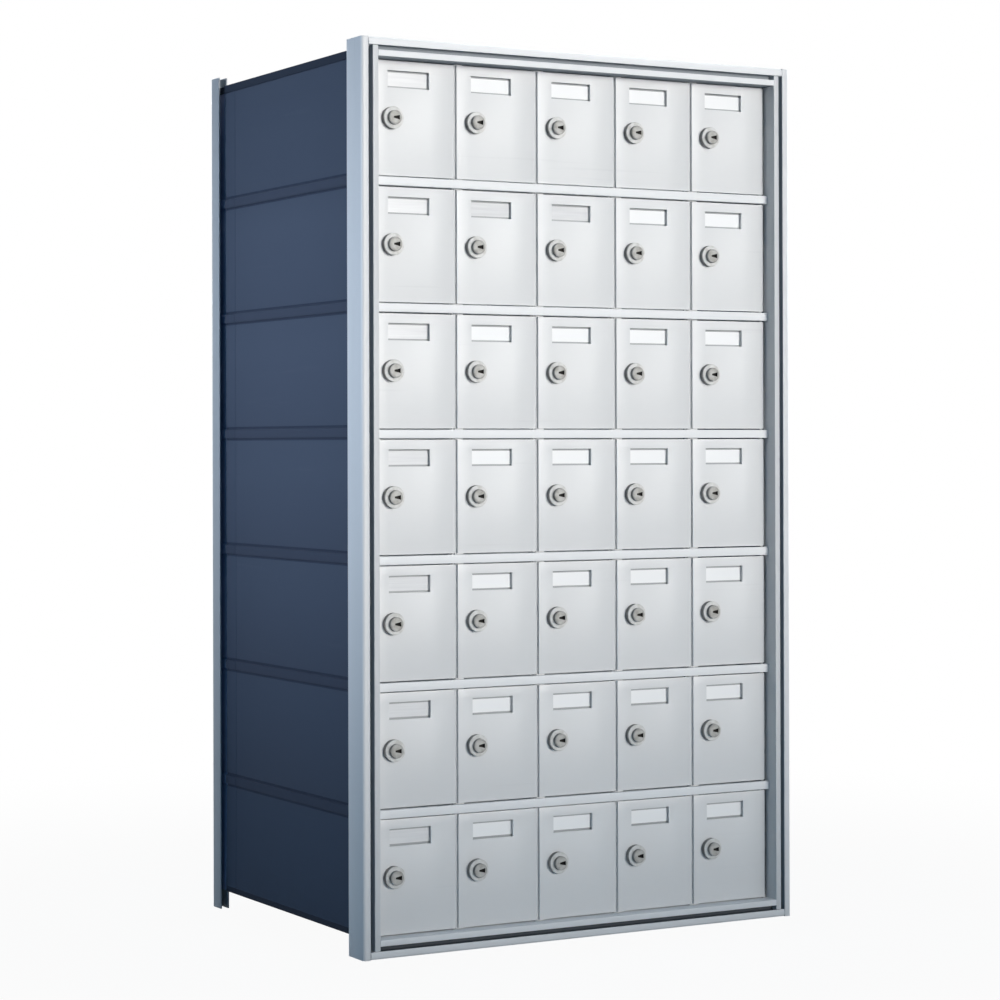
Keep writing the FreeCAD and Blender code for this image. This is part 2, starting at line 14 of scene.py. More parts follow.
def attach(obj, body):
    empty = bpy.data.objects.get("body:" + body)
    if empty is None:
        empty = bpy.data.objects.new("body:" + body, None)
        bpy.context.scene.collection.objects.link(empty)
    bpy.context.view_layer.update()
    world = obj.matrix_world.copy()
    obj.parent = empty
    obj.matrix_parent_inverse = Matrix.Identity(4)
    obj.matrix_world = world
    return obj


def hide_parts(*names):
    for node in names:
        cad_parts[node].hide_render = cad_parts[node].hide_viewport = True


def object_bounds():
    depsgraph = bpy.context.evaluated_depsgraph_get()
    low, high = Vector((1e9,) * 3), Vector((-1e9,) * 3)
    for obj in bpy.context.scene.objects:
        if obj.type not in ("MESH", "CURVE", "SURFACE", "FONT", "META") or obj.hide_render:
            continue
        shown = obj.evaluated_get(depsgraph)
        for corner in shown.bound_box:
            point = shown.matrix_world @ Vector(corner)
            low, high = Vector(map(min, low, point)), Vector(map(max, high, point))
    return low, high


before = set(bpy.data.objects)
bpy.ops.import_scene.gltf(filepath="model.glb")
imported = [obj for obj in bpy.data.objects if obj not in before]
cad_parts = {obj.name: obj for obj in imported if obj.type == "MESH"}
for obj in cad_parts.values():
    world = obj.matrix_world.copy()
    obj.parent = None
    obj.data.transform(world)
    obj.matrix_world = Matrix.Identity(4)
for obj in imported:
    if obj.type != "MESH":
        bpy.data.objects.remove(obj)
CAD_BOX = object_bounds()

log = logging.getLogger("mailbox")
CABINET = "cabinet"

# Metres in a millimetre: the sizes of the sub-assemblies are in millimetres.
MM = 0.001
# Angle from which an edge counts as sharp.
SHARP = math.radians(32)
# Faces round a corner of an outline.
ARC_STEPS = 4
# Distances below which corners count as one, or as lying on a plane.
NEAR = 0.01
FINE = 1e-3
ON_PLANE = 1e-4
# Share of a normal along an axis from which a face counts as square to it.
STRAIGHT = 0.9
# Colour sockets of a Mix node.
MIX_FIRST, MIX_SECOND, MIX_RESULT = 6, 7, 2

Colour = tuple[float, float, float]
# Values along x, y and z.
Triple = tuple[float, float, float]
# Place across and up, and radius, of an outline's corner.
Corner = tuple[float, float, float]
# Low and high end.
Range = tuple[float, float]

WHITE: Colour = (1.0, 1.0, 1.0)
NO_TURN: Triple = (0.0, 0.0, 0.0)
NO_STRETCH: Triple = (1.0, 1.0, 1.0)
# Repeats per metre of a grain that runs along x, y or z.
GRAIN_X: Triple = (70.0, 2600.0, 2600.0)
GRAIN_Y: Triple = (2200.0, 45.0, 2200.0)
GRAIN_Z: Triple = (2600.0, 2600.0, 60.0)


def rounded(radius: float, *points: tuple[float, float]) -> list[Corner]:
    """Corners of one radius."""
    return [(across, up, radius) for across, up in points]


def add_object(name: str, data: bpy.types.ID) -> bpy.types.Object:
    """Put a mesh, lamp or camera in the scene.

    Args:
        name: name of the object.
        data: its mesh, lamp or camera.

    Returns:
        The object.
    """
    made = bpy.data.objects.new(name, data)
    bpy.context.scene.collection.objects.link(made)
    return made


class Axis(Enum):
    """Direction along which a bar runs or about which a piece is turned."""

    X = "x"
    Y = "y"
    Z = "z"

    def place(self, across: float, up: float, along: float) -> Vector:
        """Point across, up and along this axis."""
        places = {"x": (along, across, up), "y": (across, along, up), "z": (across, up, along)}
        return Vector(places[self.value])

    @property
    def unit(self) -> Vector:
        """Unit vector of this axis."""
        return self.place(0.0, 0.0, 1.0)


class Slot(Enum):
    """Material slots of the part's record, one named for each new piece."""

    FRAME = "frame_aluminium"
    DOOR = "door_aluminium"
    PAINT = "cabinet_paint"
    LOCK = "lock_nickel"


class Side(Enum):
    """Left or right half of the cabinet."""

    LEFT = "left"
    RIGHT = "right"

    def x(self, inset: float) -> float:
        """Place at a distance from this side's outer face, in millimetres."""
        return inset - BANK.width / 2 if self is Side.LEFT else BANK.width / 2 - inset


class Wire:
    """A value in a node tree, for use in expressions."""

    def __init__(self, graph: "Graph", socket: bpy.types.NodeSocket) -> None:
        """Hold an output socket of a graph."""
        self.graph = graph
        self.socket = socket

    def _math(self, operation: str, first: "Wire | float", second: "Wire | float" = 0.0) -> "Wire":
        """Result of a Math node."""
        return self.graph.wire("ShaderNodeMath", {"operation": operation}, {0: first, 1: second})

    def __add__(self, other: "Wire | float") -> "Wire":
        """Sum."""
        return self._math("ADD", self, other)

    __radd__ = __add__

    def __sub__(self, other: "Wire | float") -> "Wire":
        """Difference."""
        return self._math("SUBTRACT", self, other)

    def __rsub__(self, other: float) -> "Wire":
        """Difference from a number."""
        return self._math("SUBTRACT", other, self)

    def __mul__(self, other: "Wire | float") -> "Wire":
        """Product."""
        return self._math("MULTIPLY", self, other)

    __rmul__ = __mul__

    def __truediv__(self, other: "Wire | float") -> "Wire":
        """Quotient."""
        return self._math("DIVIDE", self, other)

    def __rtruediv__(self, other: float) -> "Wire":
        """Number divided by this value."""
        return self._math("DIVIDE", other, self)

    def floor(self) -> "Wire":
        """Next whole number below."""
        return self._math("FLOOR", self)

    def most(self, other: "Wire | float") -> "Wire":
        """Larger of two values."""
        return self._math("MAXIMUM", self, other)

    def step(self, low: float, high: float) -> "Wire":
        """Smooth step from 0 at low to 1 at high."""
        settings = {"interpolation_type": "SMOOTHSTEP"}
        return self.graph.wire("ShaderNodeMapRange", settings, {0: self, 1: low, 2: high})


class Graph:
    """Nodes of a material or of the world."""

    def __init__(self, tree: bpy.types.NodeTree) -> None:
        """Start with an empty tree."""
        self.tree = tree
        self.tree.nodes.clear()

    def node(self, kind: str, settings: dict | None = None,
             sockets: dict | None = None) -> bpy.types.Node:
        """Add a node.

        Args:
            kind: Blender's name of the node's type.
            settings: properties, set first.
            sockets: values or wires by input name or number.

        Returns:
            The new node.
        """
        made = self.tree.nodes.new(kind)
        for name, value in (settings or {}).items():
            setattr(made, name, value)
        for key, value in (sockets or {}).items():
            if isinstance(value, Wire):
                self.tree.links.new(value.socket, made.inputs[key])
            else:
                made.inputs[key].default_value = value
        return made

    def wire(self, kind: str, settings: dict | None = None, sockets: dict | None = None,
             output: str | int = 0) -> Wire:
        """Add a node and take one of its outputs.

        Args:
            kind: Blender's name of the node's type.
            settings: properties, set first.
            sockets: values or wires by input name or number.
            output: name or number of the output.

        Returns:
            The output as a wire.
        """
        return Wire(self, self.node(kind, settings, sockets).outputs[output])

    def mix(self, factor: Wire, first: Colour, second: Colour) -> Wire:
        """Blend of two colours.

        Args:
            factor: 0 for the first colour, 1 for the second.
            first: colour at 0.
            second: colour at 1.

        Returns:
            The blended colour.
        """
        sockets = {0: factor, MIX_FIRST: (*first, 1.0), MIX_SECOND: (*second, 1.0)}
        return self.wire("ShaderNodeMix", {"data_type": "RGBA"}, sockets, MIX_RESULT)

    def place(self, stretch: Triple, turn: Triple = NO_TURN) -> Wire:
        """Object coordinates, stretched and turned.

        Args:
            stretch: repeats per metre along each axis.
            turn: rotation about each axis, in radians.

        Returns:
            The coordinates.
        """
        coords = self.wire("ShaderNodeTexCoord", output="Object")
        sockets = {"Vector": coords, "Scale": stretch, "Rotation": turn}
        return self.wire("ShaderNodeMapping", sockets=sockets)

    def noise(self, stretch: Triple, detail: float, turn: Triple = NO_TURN) -> Wire:
        """Soft noise from 0 to 1.

        Args:
            stretch: repeats per metre along each axis.
            detail: octaves.
            turn: rotation about each axis, in radians.

        Returns:
            The noise.
        """
        sockets = {"Vector": self.place(stretch, turn), "Scale": 1.0, "Detail": detail}
        return self.wire("ShaderNodeTexNoise", {"noise_dimensions": "3D"}, sockets)

    def door_cell(self) -> tuple[Wire, Wire]:
        """Column and row of the door at a place.

        Returns:
            Both counted from 0 at the lower left.
        """
        coords = self.wire("ShaderNodeTexCoord", output="Object")
        parts = self.node("ShaderNodeSeparateXYZ", sockets={0: coords})
        across = Wire(self, parts.outputs["X"]) - BANK.column_start * MM
        up = Wire(self, parts.outputs["Z"]) - BANK.row_start * MM
        return (across / (BANK.column_pitch * MM)).floor(), (up / (BANK.row_pitch * MM)).floor()

    def door_tone(self, draw: float = 0.0) -> Wire:
        """Number from 0 to 1 that differs from door to door.

        Args:
            draw: number of the draw, for another set of numbers.

        Returns:
            The number.
        """
        column, row = self.door_cell()
        cell = self.wire("ShaderNodeCombineXYZ", sockets={"X": column, "Y": draw, "Z": row})
        return self.wire("ShaderNodeTexWhiteNoise", {"noise_dimensions": "3D"}, {"Vector": cell})

    def around(self, middle: float, *swings: tuple[Wire, float]) -> Wire:
        """Value that swings about a middle.

        Args:
            middle: value where every wire is at one half.
            swings: wires from 0 to 1, each with the full size of its swing.

        Returns:
            The value.
        """
        total = middle - sum(size for _, size in swings) / 2
        for wire, size in swings:
            total = wire * size + total
        return total

    def bump(self, height: Wire, depth: float, strength: float) -> Wire:
        """Normal from a height.

        Args:
            height: relief from 0 to 1.
            depth: full depth in millimetres.
            strength: share of it that shows.

        Returns:
            The normal.
        """
        sockets = {"Height": height, "Distance": depth * MM, "Strength": strength}
        return self.wire("ShaderNodeBump", sockets=sockets)


@dataclass(frozen=True)
class Finish:
    """A surface finish whose nodes make one material.

    In each kind of finish, a stretch is a pattern's repeats per metre along the axes, a shade its
    share of the worn colour, a swing how far it moves the roughness, and a range the two ends of
    a smooth step.
    """

    name: str
    colour: Colour
    worn: Colour
    roughness: float
    metallic: float
    specular: float
    coat: float = 0.0

    def material(self) -> bpy.types.Material:
        """Material of this finish, made at its first use.

        Returns:
            The material.
        """
        found = bpy.data.materials.get(self.name)
        if found:
            return found
        made = bpy.data.materials.new(self.name)
        made.use_nodes = True
        graph = Graph(made.node_tree)
        surface = {"Metallic": self.metallic, "Specular IOR Level": self.specular,
                   "Coat Weight": self.coat, **self.surface(graph)}
        shader = graph.wire("ShaderNodeBsdfPrincipled", sockets=surface)
        graph.node("ShaderNodeOutputMaterial", sockets={"Surface": shader})
        return made

    def surface(self, graph: Graph) -> dict[str, Wire]:
        """Colour, roughness and normal of the finish.

        Args:
            graph: the material's nodes.

        Returns:
            Wires by the shader's socket names.
        """
        raise NotImplementedError


@dataclass(frozen=True)
class SatinMetal(Finish):
    """Anodised or rolled aluminium with a fine grain along one direction."""

    roughness: float = 0.46
    metallic: float = 0.05
    specular: float = 0.2
    grain: Triple = GRAIN_X
    grain_shade: float = 0.10
    grain_swing: float = 0.12
    cloud_stretch: Triple = (7.0, 7.0, 5.0)
    cloud_shade: float = 0.05
    cloud_swing: float = 0.10
    scuff_length: float = 0.06
    scuff_turn: Triple = (0.0, 0.35, 0.12)
    scuff_range: Range = (0.66, 0.78)
    scuff_shade: float = 0.16
    door_shade: float = 0.0

    def surface(self, graph: Graph) -> dict[str, Wire]:
        """Grain, slow clouds and faint scuffs.

        Args:
            graph: the material's nodes.

        Returns:
            Wires by the shader's socket names.
        """
        grain = graph.noise(self.grain, detail=3.0)
        clouds = graph.noise(self.cloud_stretch, detail=3.0)
        long_marks = tuple(repeats * self.scuff_length for repeats in self.grain)
        marks = graph.noise(long_marks, detail=2.0, turn=self.scuff_turn)
        scuffs = marks.step(*self.scuff_range)
        shade = clouds * self.cloud_shade + grain * self.grain_shade + scuffs * self.scuff_shade
        if self.door_shade:
            shade = shade + graph.door_tone() * self.door_shade
        return {
            "Base Color": graph.mix(shade, self.colour, self.worn),
            "Roughness": graph.around(self.roughness, (clouds, self.cloud_swing),
                                      (grain, self.grain_swing)),
            "Normal": graph.bump(grain, depth=0.02, strength=0.5),
        }


@dataclass(frozen=True)
class SheetPaint(Finish):
    """Baked paint on sheet, with a slight orange peel."""

    roughness: float = 0.62
    metallic: float = 0.0
    specular: float = 0.025
    mottle_stretch: Triple = (9.0, 6.0, 9.0)
    mottle_shade: float = 0.5
    mottle_swing: float = 0.12
    peel_stretch: Triple = (700.0, 700.0, 700.0)
    peel_swing: float = 0.10
    rub_stretch: Triple = (40.0, 5.0, 90.0)
    rub_turn: Triple = (0.2, 0.0, 0.0)
    rub_range: Range = (0.62, 0.80)
    rub_shade: float = 0.25

    def surface(self, graph: Graph) -> dict[str, Wire]:
        """Mottled colour, rub marks and orange peel.

        Args:
            graph: the material's nodes.

        Returns:
            Wires by the shader's socket names.
        """
        mottle = graph.noise(self.mottle_stretch, detail=4.0)
        peel = graph.noise(self.peel_stretch, detail=2.0)
        marks = graph.noise(self.rub_stretch, detail=3.0, turn=self.rub_turn)
        rubs = marks.step(*self.rub_range)
        shade = mottle * self.mottle_shade + rubs * self.rub_shade
        return {
            "Base Color": graph.mix(shade, self.colour, self.worn),
            "Roughness": graph.around(self.roughness, (mottle, self.mottle_swing),
                                      (peel, self.peel_swing)),
            "Normal": graph.bump(peel, depth=0.06, strength=0.35),
        }


@dataclass(frozen=True)
class Plating(Finish):
    """Bright plating with turning marks and a little tarnish."""

    tarnish_stretch: Triple = (160.0, 160.0, 160.0)
    tarnish_range: Range = (0.35, 0.75)
    tarnish_swing: float = 0.18
    mark_stretch: Triple = (1500.0, 9000.0, 1500.0)
    mark_swing: float = 0.10

    def surface(self, graph: Graph) -> dict[str, Wire]:
        """Tarnish clouds and fine marks.

        Args:
            graph: the material's nodes.

        Returns:
            Wires by the shader's socket names.
        """
        tarnish = graph.noise(self.tarnish_stretch, detail=3.0)
        marks = graph.noise(self.mark_stretch, detail=2.0)
        return {
            "Base Color": graph.mix(tarnish.step(*self.tarnish_range), self.colour, self.worn),
            "Roughness": graph.around(self.roughness, (tarnish, self.tarnish_swing),
                                      (marks, self.mark_swing)),
            "Normal": graph.bump(marks, depth=0.01, strength=0.4),
        }


@dataclass(frozen=True)
class CardStock(Finish):
    """Glossy paper of the name cards: greyer in the first column and on a few other doors."""

    draw: float = 325.0
    first_age: float = 0.8
    first_range: Range = (0.2, 0.8)
    age_range: Range = (0.87, 0.94)
    age_shade: float = 0.5
    streak_stretch: Triple = (18.0, 18.0, 420.0)
    streak_shade: float = 0.7
    fibre_stretch: Triple = (900.0, 900.0, 2200.0)
    fibre_shade: float = 0.08
    fibre_swing: float = 0.15

    def surface(self, graph: Graph) -> dict[str, Wire]:
        """Fibres, faint streaks and a tone that differs from card to card.

        Args:
            graph: the material's nodes.

        Returns:
            Wires by the shader's socket names.
        """
        fibres = graph.noise(self.fibre_stretch, detail=3.0)
        streaks = graph.noise(self.streak_stretch, detail=2.0)
        column, _ = graph.door_cell()
        first = self.first_age - column.step(*self.first_range) * self.first_age
        age = graph.door_tone(self.draw).step(*self.age_range).most(first)
        shade = age * self.age_shade + fibres * self.fibre_shade + age * streaks * self.streak_shade
        return {
            "Base Color": graph.mix(shade, self.colour, self.worn),
            "Roughness": graph.around(self.roughness, (fibres, self.fibre_swing)),
            "Normal": graph.bump(fibres, depth=0.03, strength=0.3),
        }


FRAME_METAL = SatinMetal("satin_frame", (0.795, 0.80, 0.81), (0.62, 0.63, 0.64), grain=GRAIN_Z)
# Darker copy of the frame's satin aluminium on the stiles' inner lips: painted shade.
INNER_LIP_PAINTED_SHADE = SatinMetal("satin_lip_painted_shade", (0.69, 0.70, 0.71), (0.54, 0.55, 0.56), grain=GRAIN_Z)
# Brighter copy of the frame's satin aluminium on the header, sill, rails and mullions: painted
# light.
BAR_PAINTED_LIGHT = SatinMetal("satin_bar_painted_light", (0.885, 0.89, 0.895), (0.70, 0.71, 0.72))
# Darker copy of the satin aluminium on the rear uprights: painted shade.
UPRIGHT_PAINTED_SHADE = SatinMetal("satin_upright_painted_shade", (0.45, 0.475, 0.50), (0.34, 0.36, 0.385),
                           roughness=0.48, grain=GRAIN_Z)
DOOR_METAL = SatinMetal("satin_door", (0.78, 0.785, 0.79), (0.595, 0.60, 0.61), metallic=0.08,
                        specular=0.25, cloud_shade=0.06, door_shade=0.10)
INNER_METAL = SatinMetal("mill_sheet", (0.60, 0.62, 0.64), (0.42, 0.44, 0.46), roughness=0.42,
                         metallic=0.45, specular=0.4, grain=GRAIN_Y, cloud_shade=0.25)
ROD_METAL = SatinMetal("zinc_rod", (0.55, 0.56, 0.57), (0.38, 0.38, 0.37), roughness=0.38,
                       metallic=0.7, specular=0.4, grain=GRAIN_Z, cloud_shade=0.3)
HOLDER_METAL = SatinMetal("holder_sheet", (0.42, 0.43, 0.44), (0.32, 0.33, 0.34), roughness=0.50,
                          metallic=0.10)
# Mid grey in the frame's groove and under the header's inner edge: painted shade.
GROOVE_PAINTED_SHADE = SatinMetal("groove_painted_shade", (0.37, 0.40, 0.43), (0.28, 0.30, 0.33), roughness=0.60,
                          metallic=0.0, specular=0.1, cloud_shade=0.2)
# Near black in the sill's groove: a deeper painted shade, low down where less light falls.
SILL_GROOVE_PAINTED_SHADE = SatinMetal("sill_groove_painted_shade", (0.10, 0.115, 0.13), (0.07, 0.08, 0.09), roughness=0.60,
                         metallic=0.0, specular=0.1, cloud_shade=0.2)
SLATE = SheetPaint("slate_paint", (0.083, 0.102, 0.147), (0.111, 0.131, 0.178))
# Darker copy of the slate paint on each tier's lap band: painted shade.
LAP_PAINTED_SHADE = SheetPaint("lap_painted_shade", (0.064, 0.077, 0.114), (0.084, 0.099, 0.138))
# Darker still on the pressed beads: painted shade in the creases.
BEAD_PAINTED_SHADE = SheetPaint("bead_painted_shade", (0.046, 0.058, 0.092), (0.066, 0.081, 0.116))
# Darkest copy of the slate paint: painted shade on the lowest tier's bottom hem and on the top
# cover's edge band; the floor pan takes it too.
SLATE_PAINTED_SHADE = SheetPaint("slate_painted_shade", (0.034, 0.044, 0.068), (0.051, 0.064, 0.089))
# Light bluish colour on the side sheets' rear margins inside the upright channels: painted light in
# the channel's shade.
REAR_MARGIN_PAINTED_LIGHT = SheetPaint("rear_margin_painted_light", (0.50, 0.52, 0.72), (0.54, 0.55, 0.70), roughness=0.70,
                         specular=0.05)
NICKEL = Plating("collar_nickel", (0.72, 0.72, 0.71), (0.58, 0.575, 0.55), roughness=0.50,
                 metallic=0.08, specular=0.25)
HEAD_NICKEL = Plating("lock_head", (0.47, 0.465, 0.45), (0.33, 0.32, 0.295), roughness=0.45,
                      metallic=0.15, specular=0.3)
# Dark grey on the side walls of the lock's collar and head: painted shade.
LOCK_RIM_PAINTED_SHADE = Plating("lock_rim_painted_shade", (0.29, 0.286, 0.277), (0.20, 0.194, 0.183), roughness=0.50,
                     metallic=0.10, specular=0.2)
# Near black inside the keyway: painted shade.
KEYWAY_PAINTED_SHADE = Plating("keyway_painted_shade", (0.020, 0.019, 0.018), (0.035, 0.032, 0.028), roughness=0.60,
                    metallic=0.0, specular=0.1)
CARD = CardStock("name_card", (0.96, 0.965, 0.97), (0.66, 0.665, 0.68), roughness=0.495,
                 metallic=0.0, specular=0.9, coat=1.0)


@dataclass(frozen=True)
class Bank:
    """Sizes of the whole bank in millimetres, as in the solids."""

    width: float
    depth: float
    height: float
    columns: int = 5
    rows: int = 7
    frame_face: float = 20.25
    column_gap: float = 2.0
    row_gap: float = 1.25
    door_width: float = 100.2
    door_height: float = 124.0
    door_recess: float = 18.0
    rail_height: float = 9.5

    @property
    def front(self) -> float:
        """Front face."""
        return -self.depth / 2

    @property
    def column_pitch(self) -> float:
        """Distance from door to door across."""
        return self.door_width + self.column_gap

    @property
    def row_pitch(self) -> float:
        """Distance from door to door upwards."""
        return self.door_height + 2 * self.row_gap + self.rail_height

    @property
    def column_start(self) -> float:
        """Middle of the gap left of the first column."""
        return self.frame_face + self.column_gap / 2 - self.width / 2

    @property
    def row_start(self) -> float:
        """Middle of a rail's height below the lowest row."""
        return self.frame_face - self.rail_height / 2

    def door_corner(self, row: int, column: int) -> Vector:
        """Lower left front corner of a door leaf.

        Args:
            row: 1 at the top.
            column: 1 at the left.

        Returns:
            The corner, in millimetres.
        """
        x = self.column_start + self.column_gap / 2 + (column - 1) * self.column_pitch
        z = self.frame_face + self.row_gap + (self.rows - row) * self.row_pitch
        return Vector((x, self.front + self.door_recess, z))

    def rail_bottom(self, row: int) -> float:
        """Lower face of the rail below a row."""
        return self.frame_face + (self.rows - row) * self.row_pitch - self.rail_height


BANK = Bank(*((high - low) / MM for low, high in zip(*CAD_BOX)))


class Solid:
    """One closed shape in the making, in millimetres."""

    def __init__(self) -> None:
        """Start with nothing."""
        self.bm = bmesh.new()
        self.accents: list[Finish] = []

    @classmethod
    def prism(cls, corners: list[Corner], axis: Axis, start: float, end: float) -> "Solid":
        """Straight bar from an outline.

        Args:
            corners: across, up and the corner's radius.
            axis: direction of the bar.
            start: place of its first end.
            end: place of its other end.

        Returns:
            The bar.
        """
        made = cls()
        verts = [made.bm.verts.new(axis.place(across, up, start)) for across, up, _ in corners]
        made.bm.faces.new(verts)
        for radius in sorted({corner[2] for corner in corners} - {0.0}):
            chosen = [vert for vert, corner in zip(verts, corners) if corner[2] == radius]
            bmesh.ops.bevel(made.bm, geom=chosen, offset=radius, offset_type="OFFSET",
                            affect="VERTICES", segments=ARC_STEPS, profile=0.5, material=-1)
        grown = bmesh.ops.extrude_face_region(made.bm, geom=made.bm.faces[:])
        moved = [item for item in grown["geom"] if isinstance(item, bmesh.types.BMVert)]
        bmesh.ops.translate(made.bm, vec=axis.unit * (end - start), verts=moved)
        return made.outward()

    @classmethod
    def bar(cls, sides: int, radius: float, axis: Axis, centre: tuple[float, float], start: float,
            end: float) -> "Solid":
        """Round or many-sided bar.

        Args:
            sides: number of sides.
            radius: radius at the corners.
            axis: direction of the bar.
            centre: place of its middle, across and up.
            start: place of its first end.
            end: place of its other end.

        Returns:
            The bar.
        """
        made = cls()
        turn = axis.unit.to_track_quat("Z", "Y").to_matrix().to_4x4()
        middle = Matrix.Translation(axis.place(*centre, (start + end) / 2))
        bmesh.ops.create_cone(made.bm, cap_ends=True, segments=sides, radius1=radius,
                              radius2=radius, depth=abs(end - start), matrix=middle @ turn)
        return made.outward()

    @classmethod
    def turned(cls, outline: list[tuple[float, float]], axis: Axis, centre: tuple[float, float],
               steps: int, closed: bool = False) -> "Solid":
        """Piece turned about an axis.

        Args:
            outline: radius and place along the axis.
            axis: axis of turning.
            centre: place of the axis, across and up.
            steps: faces around.
            closed: whether the outline's ends join, as in a ring.

        Returns:
            The turned piece.
        """
        made = cls()
        verts = [made.bm.verts.new(axis.place(centre[0] + radius, centre[1], along))
                 for radius, along in outline]
        pairs = list(zip(verts, verts[1:]))
        if closed:
            pairs.append((verts[-1], verts[0]))
        edges = [made.bm.edges.new(pair) for pair in pairs]
        bmesh.ops.spin(made.bm, geom=verts + edges, cent=axis.place(*centre, 0.0), axis=axis.unit,
                       angle=2 * math.pi, steps=steps, use_merge=True)
        bmesh.ops.remove_doubles(made.bm, verts=made.bm.verts[:], dist=FINE)
        return made.outward()

    def outward(self) -> "Solid":
        """Point every face outwards."""
        bmesh.ops.recalc_face_normals(self.bm, faces=self.bm.faces[:])
        return self

    def soften(self, width: float, segments: int) -> "Solid":
        """Round every sharp edge.

        Args:
            width: radius in millimetres.
            segments: faces across the rounding.

        Returns:
            This solid.
        """
        edges = [edge for edge in self.bm.edges
                 if edge.is_manifold and edge.calc_face_angle() > SHARP]
        bmesh.ops.bevel(self.bm, geom=edges, offset=width, offset_type="OFFSET", affect="EDGES",
                        segments=segments, profile=0.5, material=-1, clamp_overlap=True)
        bmesh.ops.dissolve_degenerate(self.bm, dist=FINE, edges=self.bm.edges[:])
        return self

    def mark(self, finish: Finish, chosen: Callable[[Vector, Vector], bool]) -> None:
        """Give some faces a finish of their own.

        Args:
            finish: their finish.
            chosen: test of a face's middle and normal.
        """
        self.bm.normal_update()
        self.accents.append(finish)
        for face in self.bm.faces:
            if chosen(face.calc_center_median(), face.normal):
                face.material_index = len(self.accents)

    def slice(self, place: Vector, normal: Vector,
              faces: list[bmesh.types.BMFace] | None = None) -> None:
        """Divide faces along a plane.

        Args:
            place: a point of the plane.
            normal: its normal.
            faces: faces to divide, or all.
        """
        chosen = faces or self.bm.faces[:]
        edges = {edge for face in chosen for edge in face.edges}
        verts = {vert for face in chosen for vert in face.verts}
        bmesh.ops.bisect_plane(self.bm, geom=[*verts, *edges, *chosen], dist=ON_PLANE,
                               plane_co=place, plane_no=normal)

    def pierce(self, low: Vector, high: Vector) -> "Solid":
        """Cut a rectangular window from front to back.

        Args:
            low: lower left corner.
            high: upper right corner.

        Returns:
            This solid.
        """
        for place in (low, high):
            for axis in (Axis.X, Axis.Z):
                self.slice(place, axis.unit)
        inside = []
        for face in self.bm.faces:
            middle = face.calc_center_median()
            if low.x < middle.x < high.x and low.z < middle.z < high.z:
                inside.append(face)
        rims = list({edge for face in inside for edge in face.edges})
        bmesh.ops.delete(self.bm, geom=inside, context="FACES_ONLY")
        bmesh.ops.bridge_loops(self.bm, edges=rims)
        return self.outward()

    def repeat(self, steps: list[Vector]) -> None:
        """Add moved copies of the shape.

        Args:
            steps: moves of the copies.
        """
        original = self.bm.verts[:] + self.bm.edges[:] + self.bm.faces[:]
        for step in steps:
            copy = bmesh.ops.duplicate(self.bm, geom=original)["geom"]
            moved = [item for item in copy if isinstance(item, bmesh.types.BMVert)]
            bmesh.ops.translate(self.bm, vec=step, verts=moved)


class Shape:
    """A finished mesh, placed as one piece or as several."""

    def __init__(self, name: str, *dressed: tuple[Solid, Finish]) -> None:
        """Join solids, each with its finish.

        Args:
            name: name of the mesh.
            dressed: solids with their main finishes.
        """
        self.mesh = bpy.data.meshes.new(name)
        joined = bmesh.new()
        finishes: list[Finish] = []
        for solid, finish in dressed:
            choices = [finish, *solid.accents]
            finishes += [choice for choice in choices if choice not in finishes]
            for face in solid.bm.faces:
                face.material_index = finishes.index(choices[face.material_index])
                face.smooth = True
            part = bpy.data.meshes.new("part")
            solid.bm.to_mesh(part)
            solid.bm.free()
            joined.from_mesh(part)
            bpy.data.meshes.remove(part)
        bmesh.ops.scale(joined, vec=(MM, MM, MM), verts=joined.verts[:])
        joined.to_mesh(self.mesh)
        joined.free()
        for finish in finishes:
            self.mesh.materials.append(finish.material())
        self.mesh.set_sharp_from_angle(angle=SHARP)

    def place(self, name: str, body: str, slot: Slot, at: Vector | None = None,
              stands_for: tuple[str, ...] = ()) -> None:
        """Put the mesh in the scene as a piece.

        Args:
            name: name of the piece.
            body: body that it moves with.
            slot: material slot of the record; not used.
            at: move in millimetres, for a copy.
            stands_for: nodes that it replaces.
        """
        mesh = self.mesh
        if at is not None:
            mesh = self.mesh.copy()
            mesh.transform(Matrix.Translation(at * MM))
        piece = add_object(name, mesh)
        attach(piece, body)
        if stands_for:
            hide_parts(*stands_for)
        log.info("%s on %s: %d faces", name, body, len(mesh.polygons))


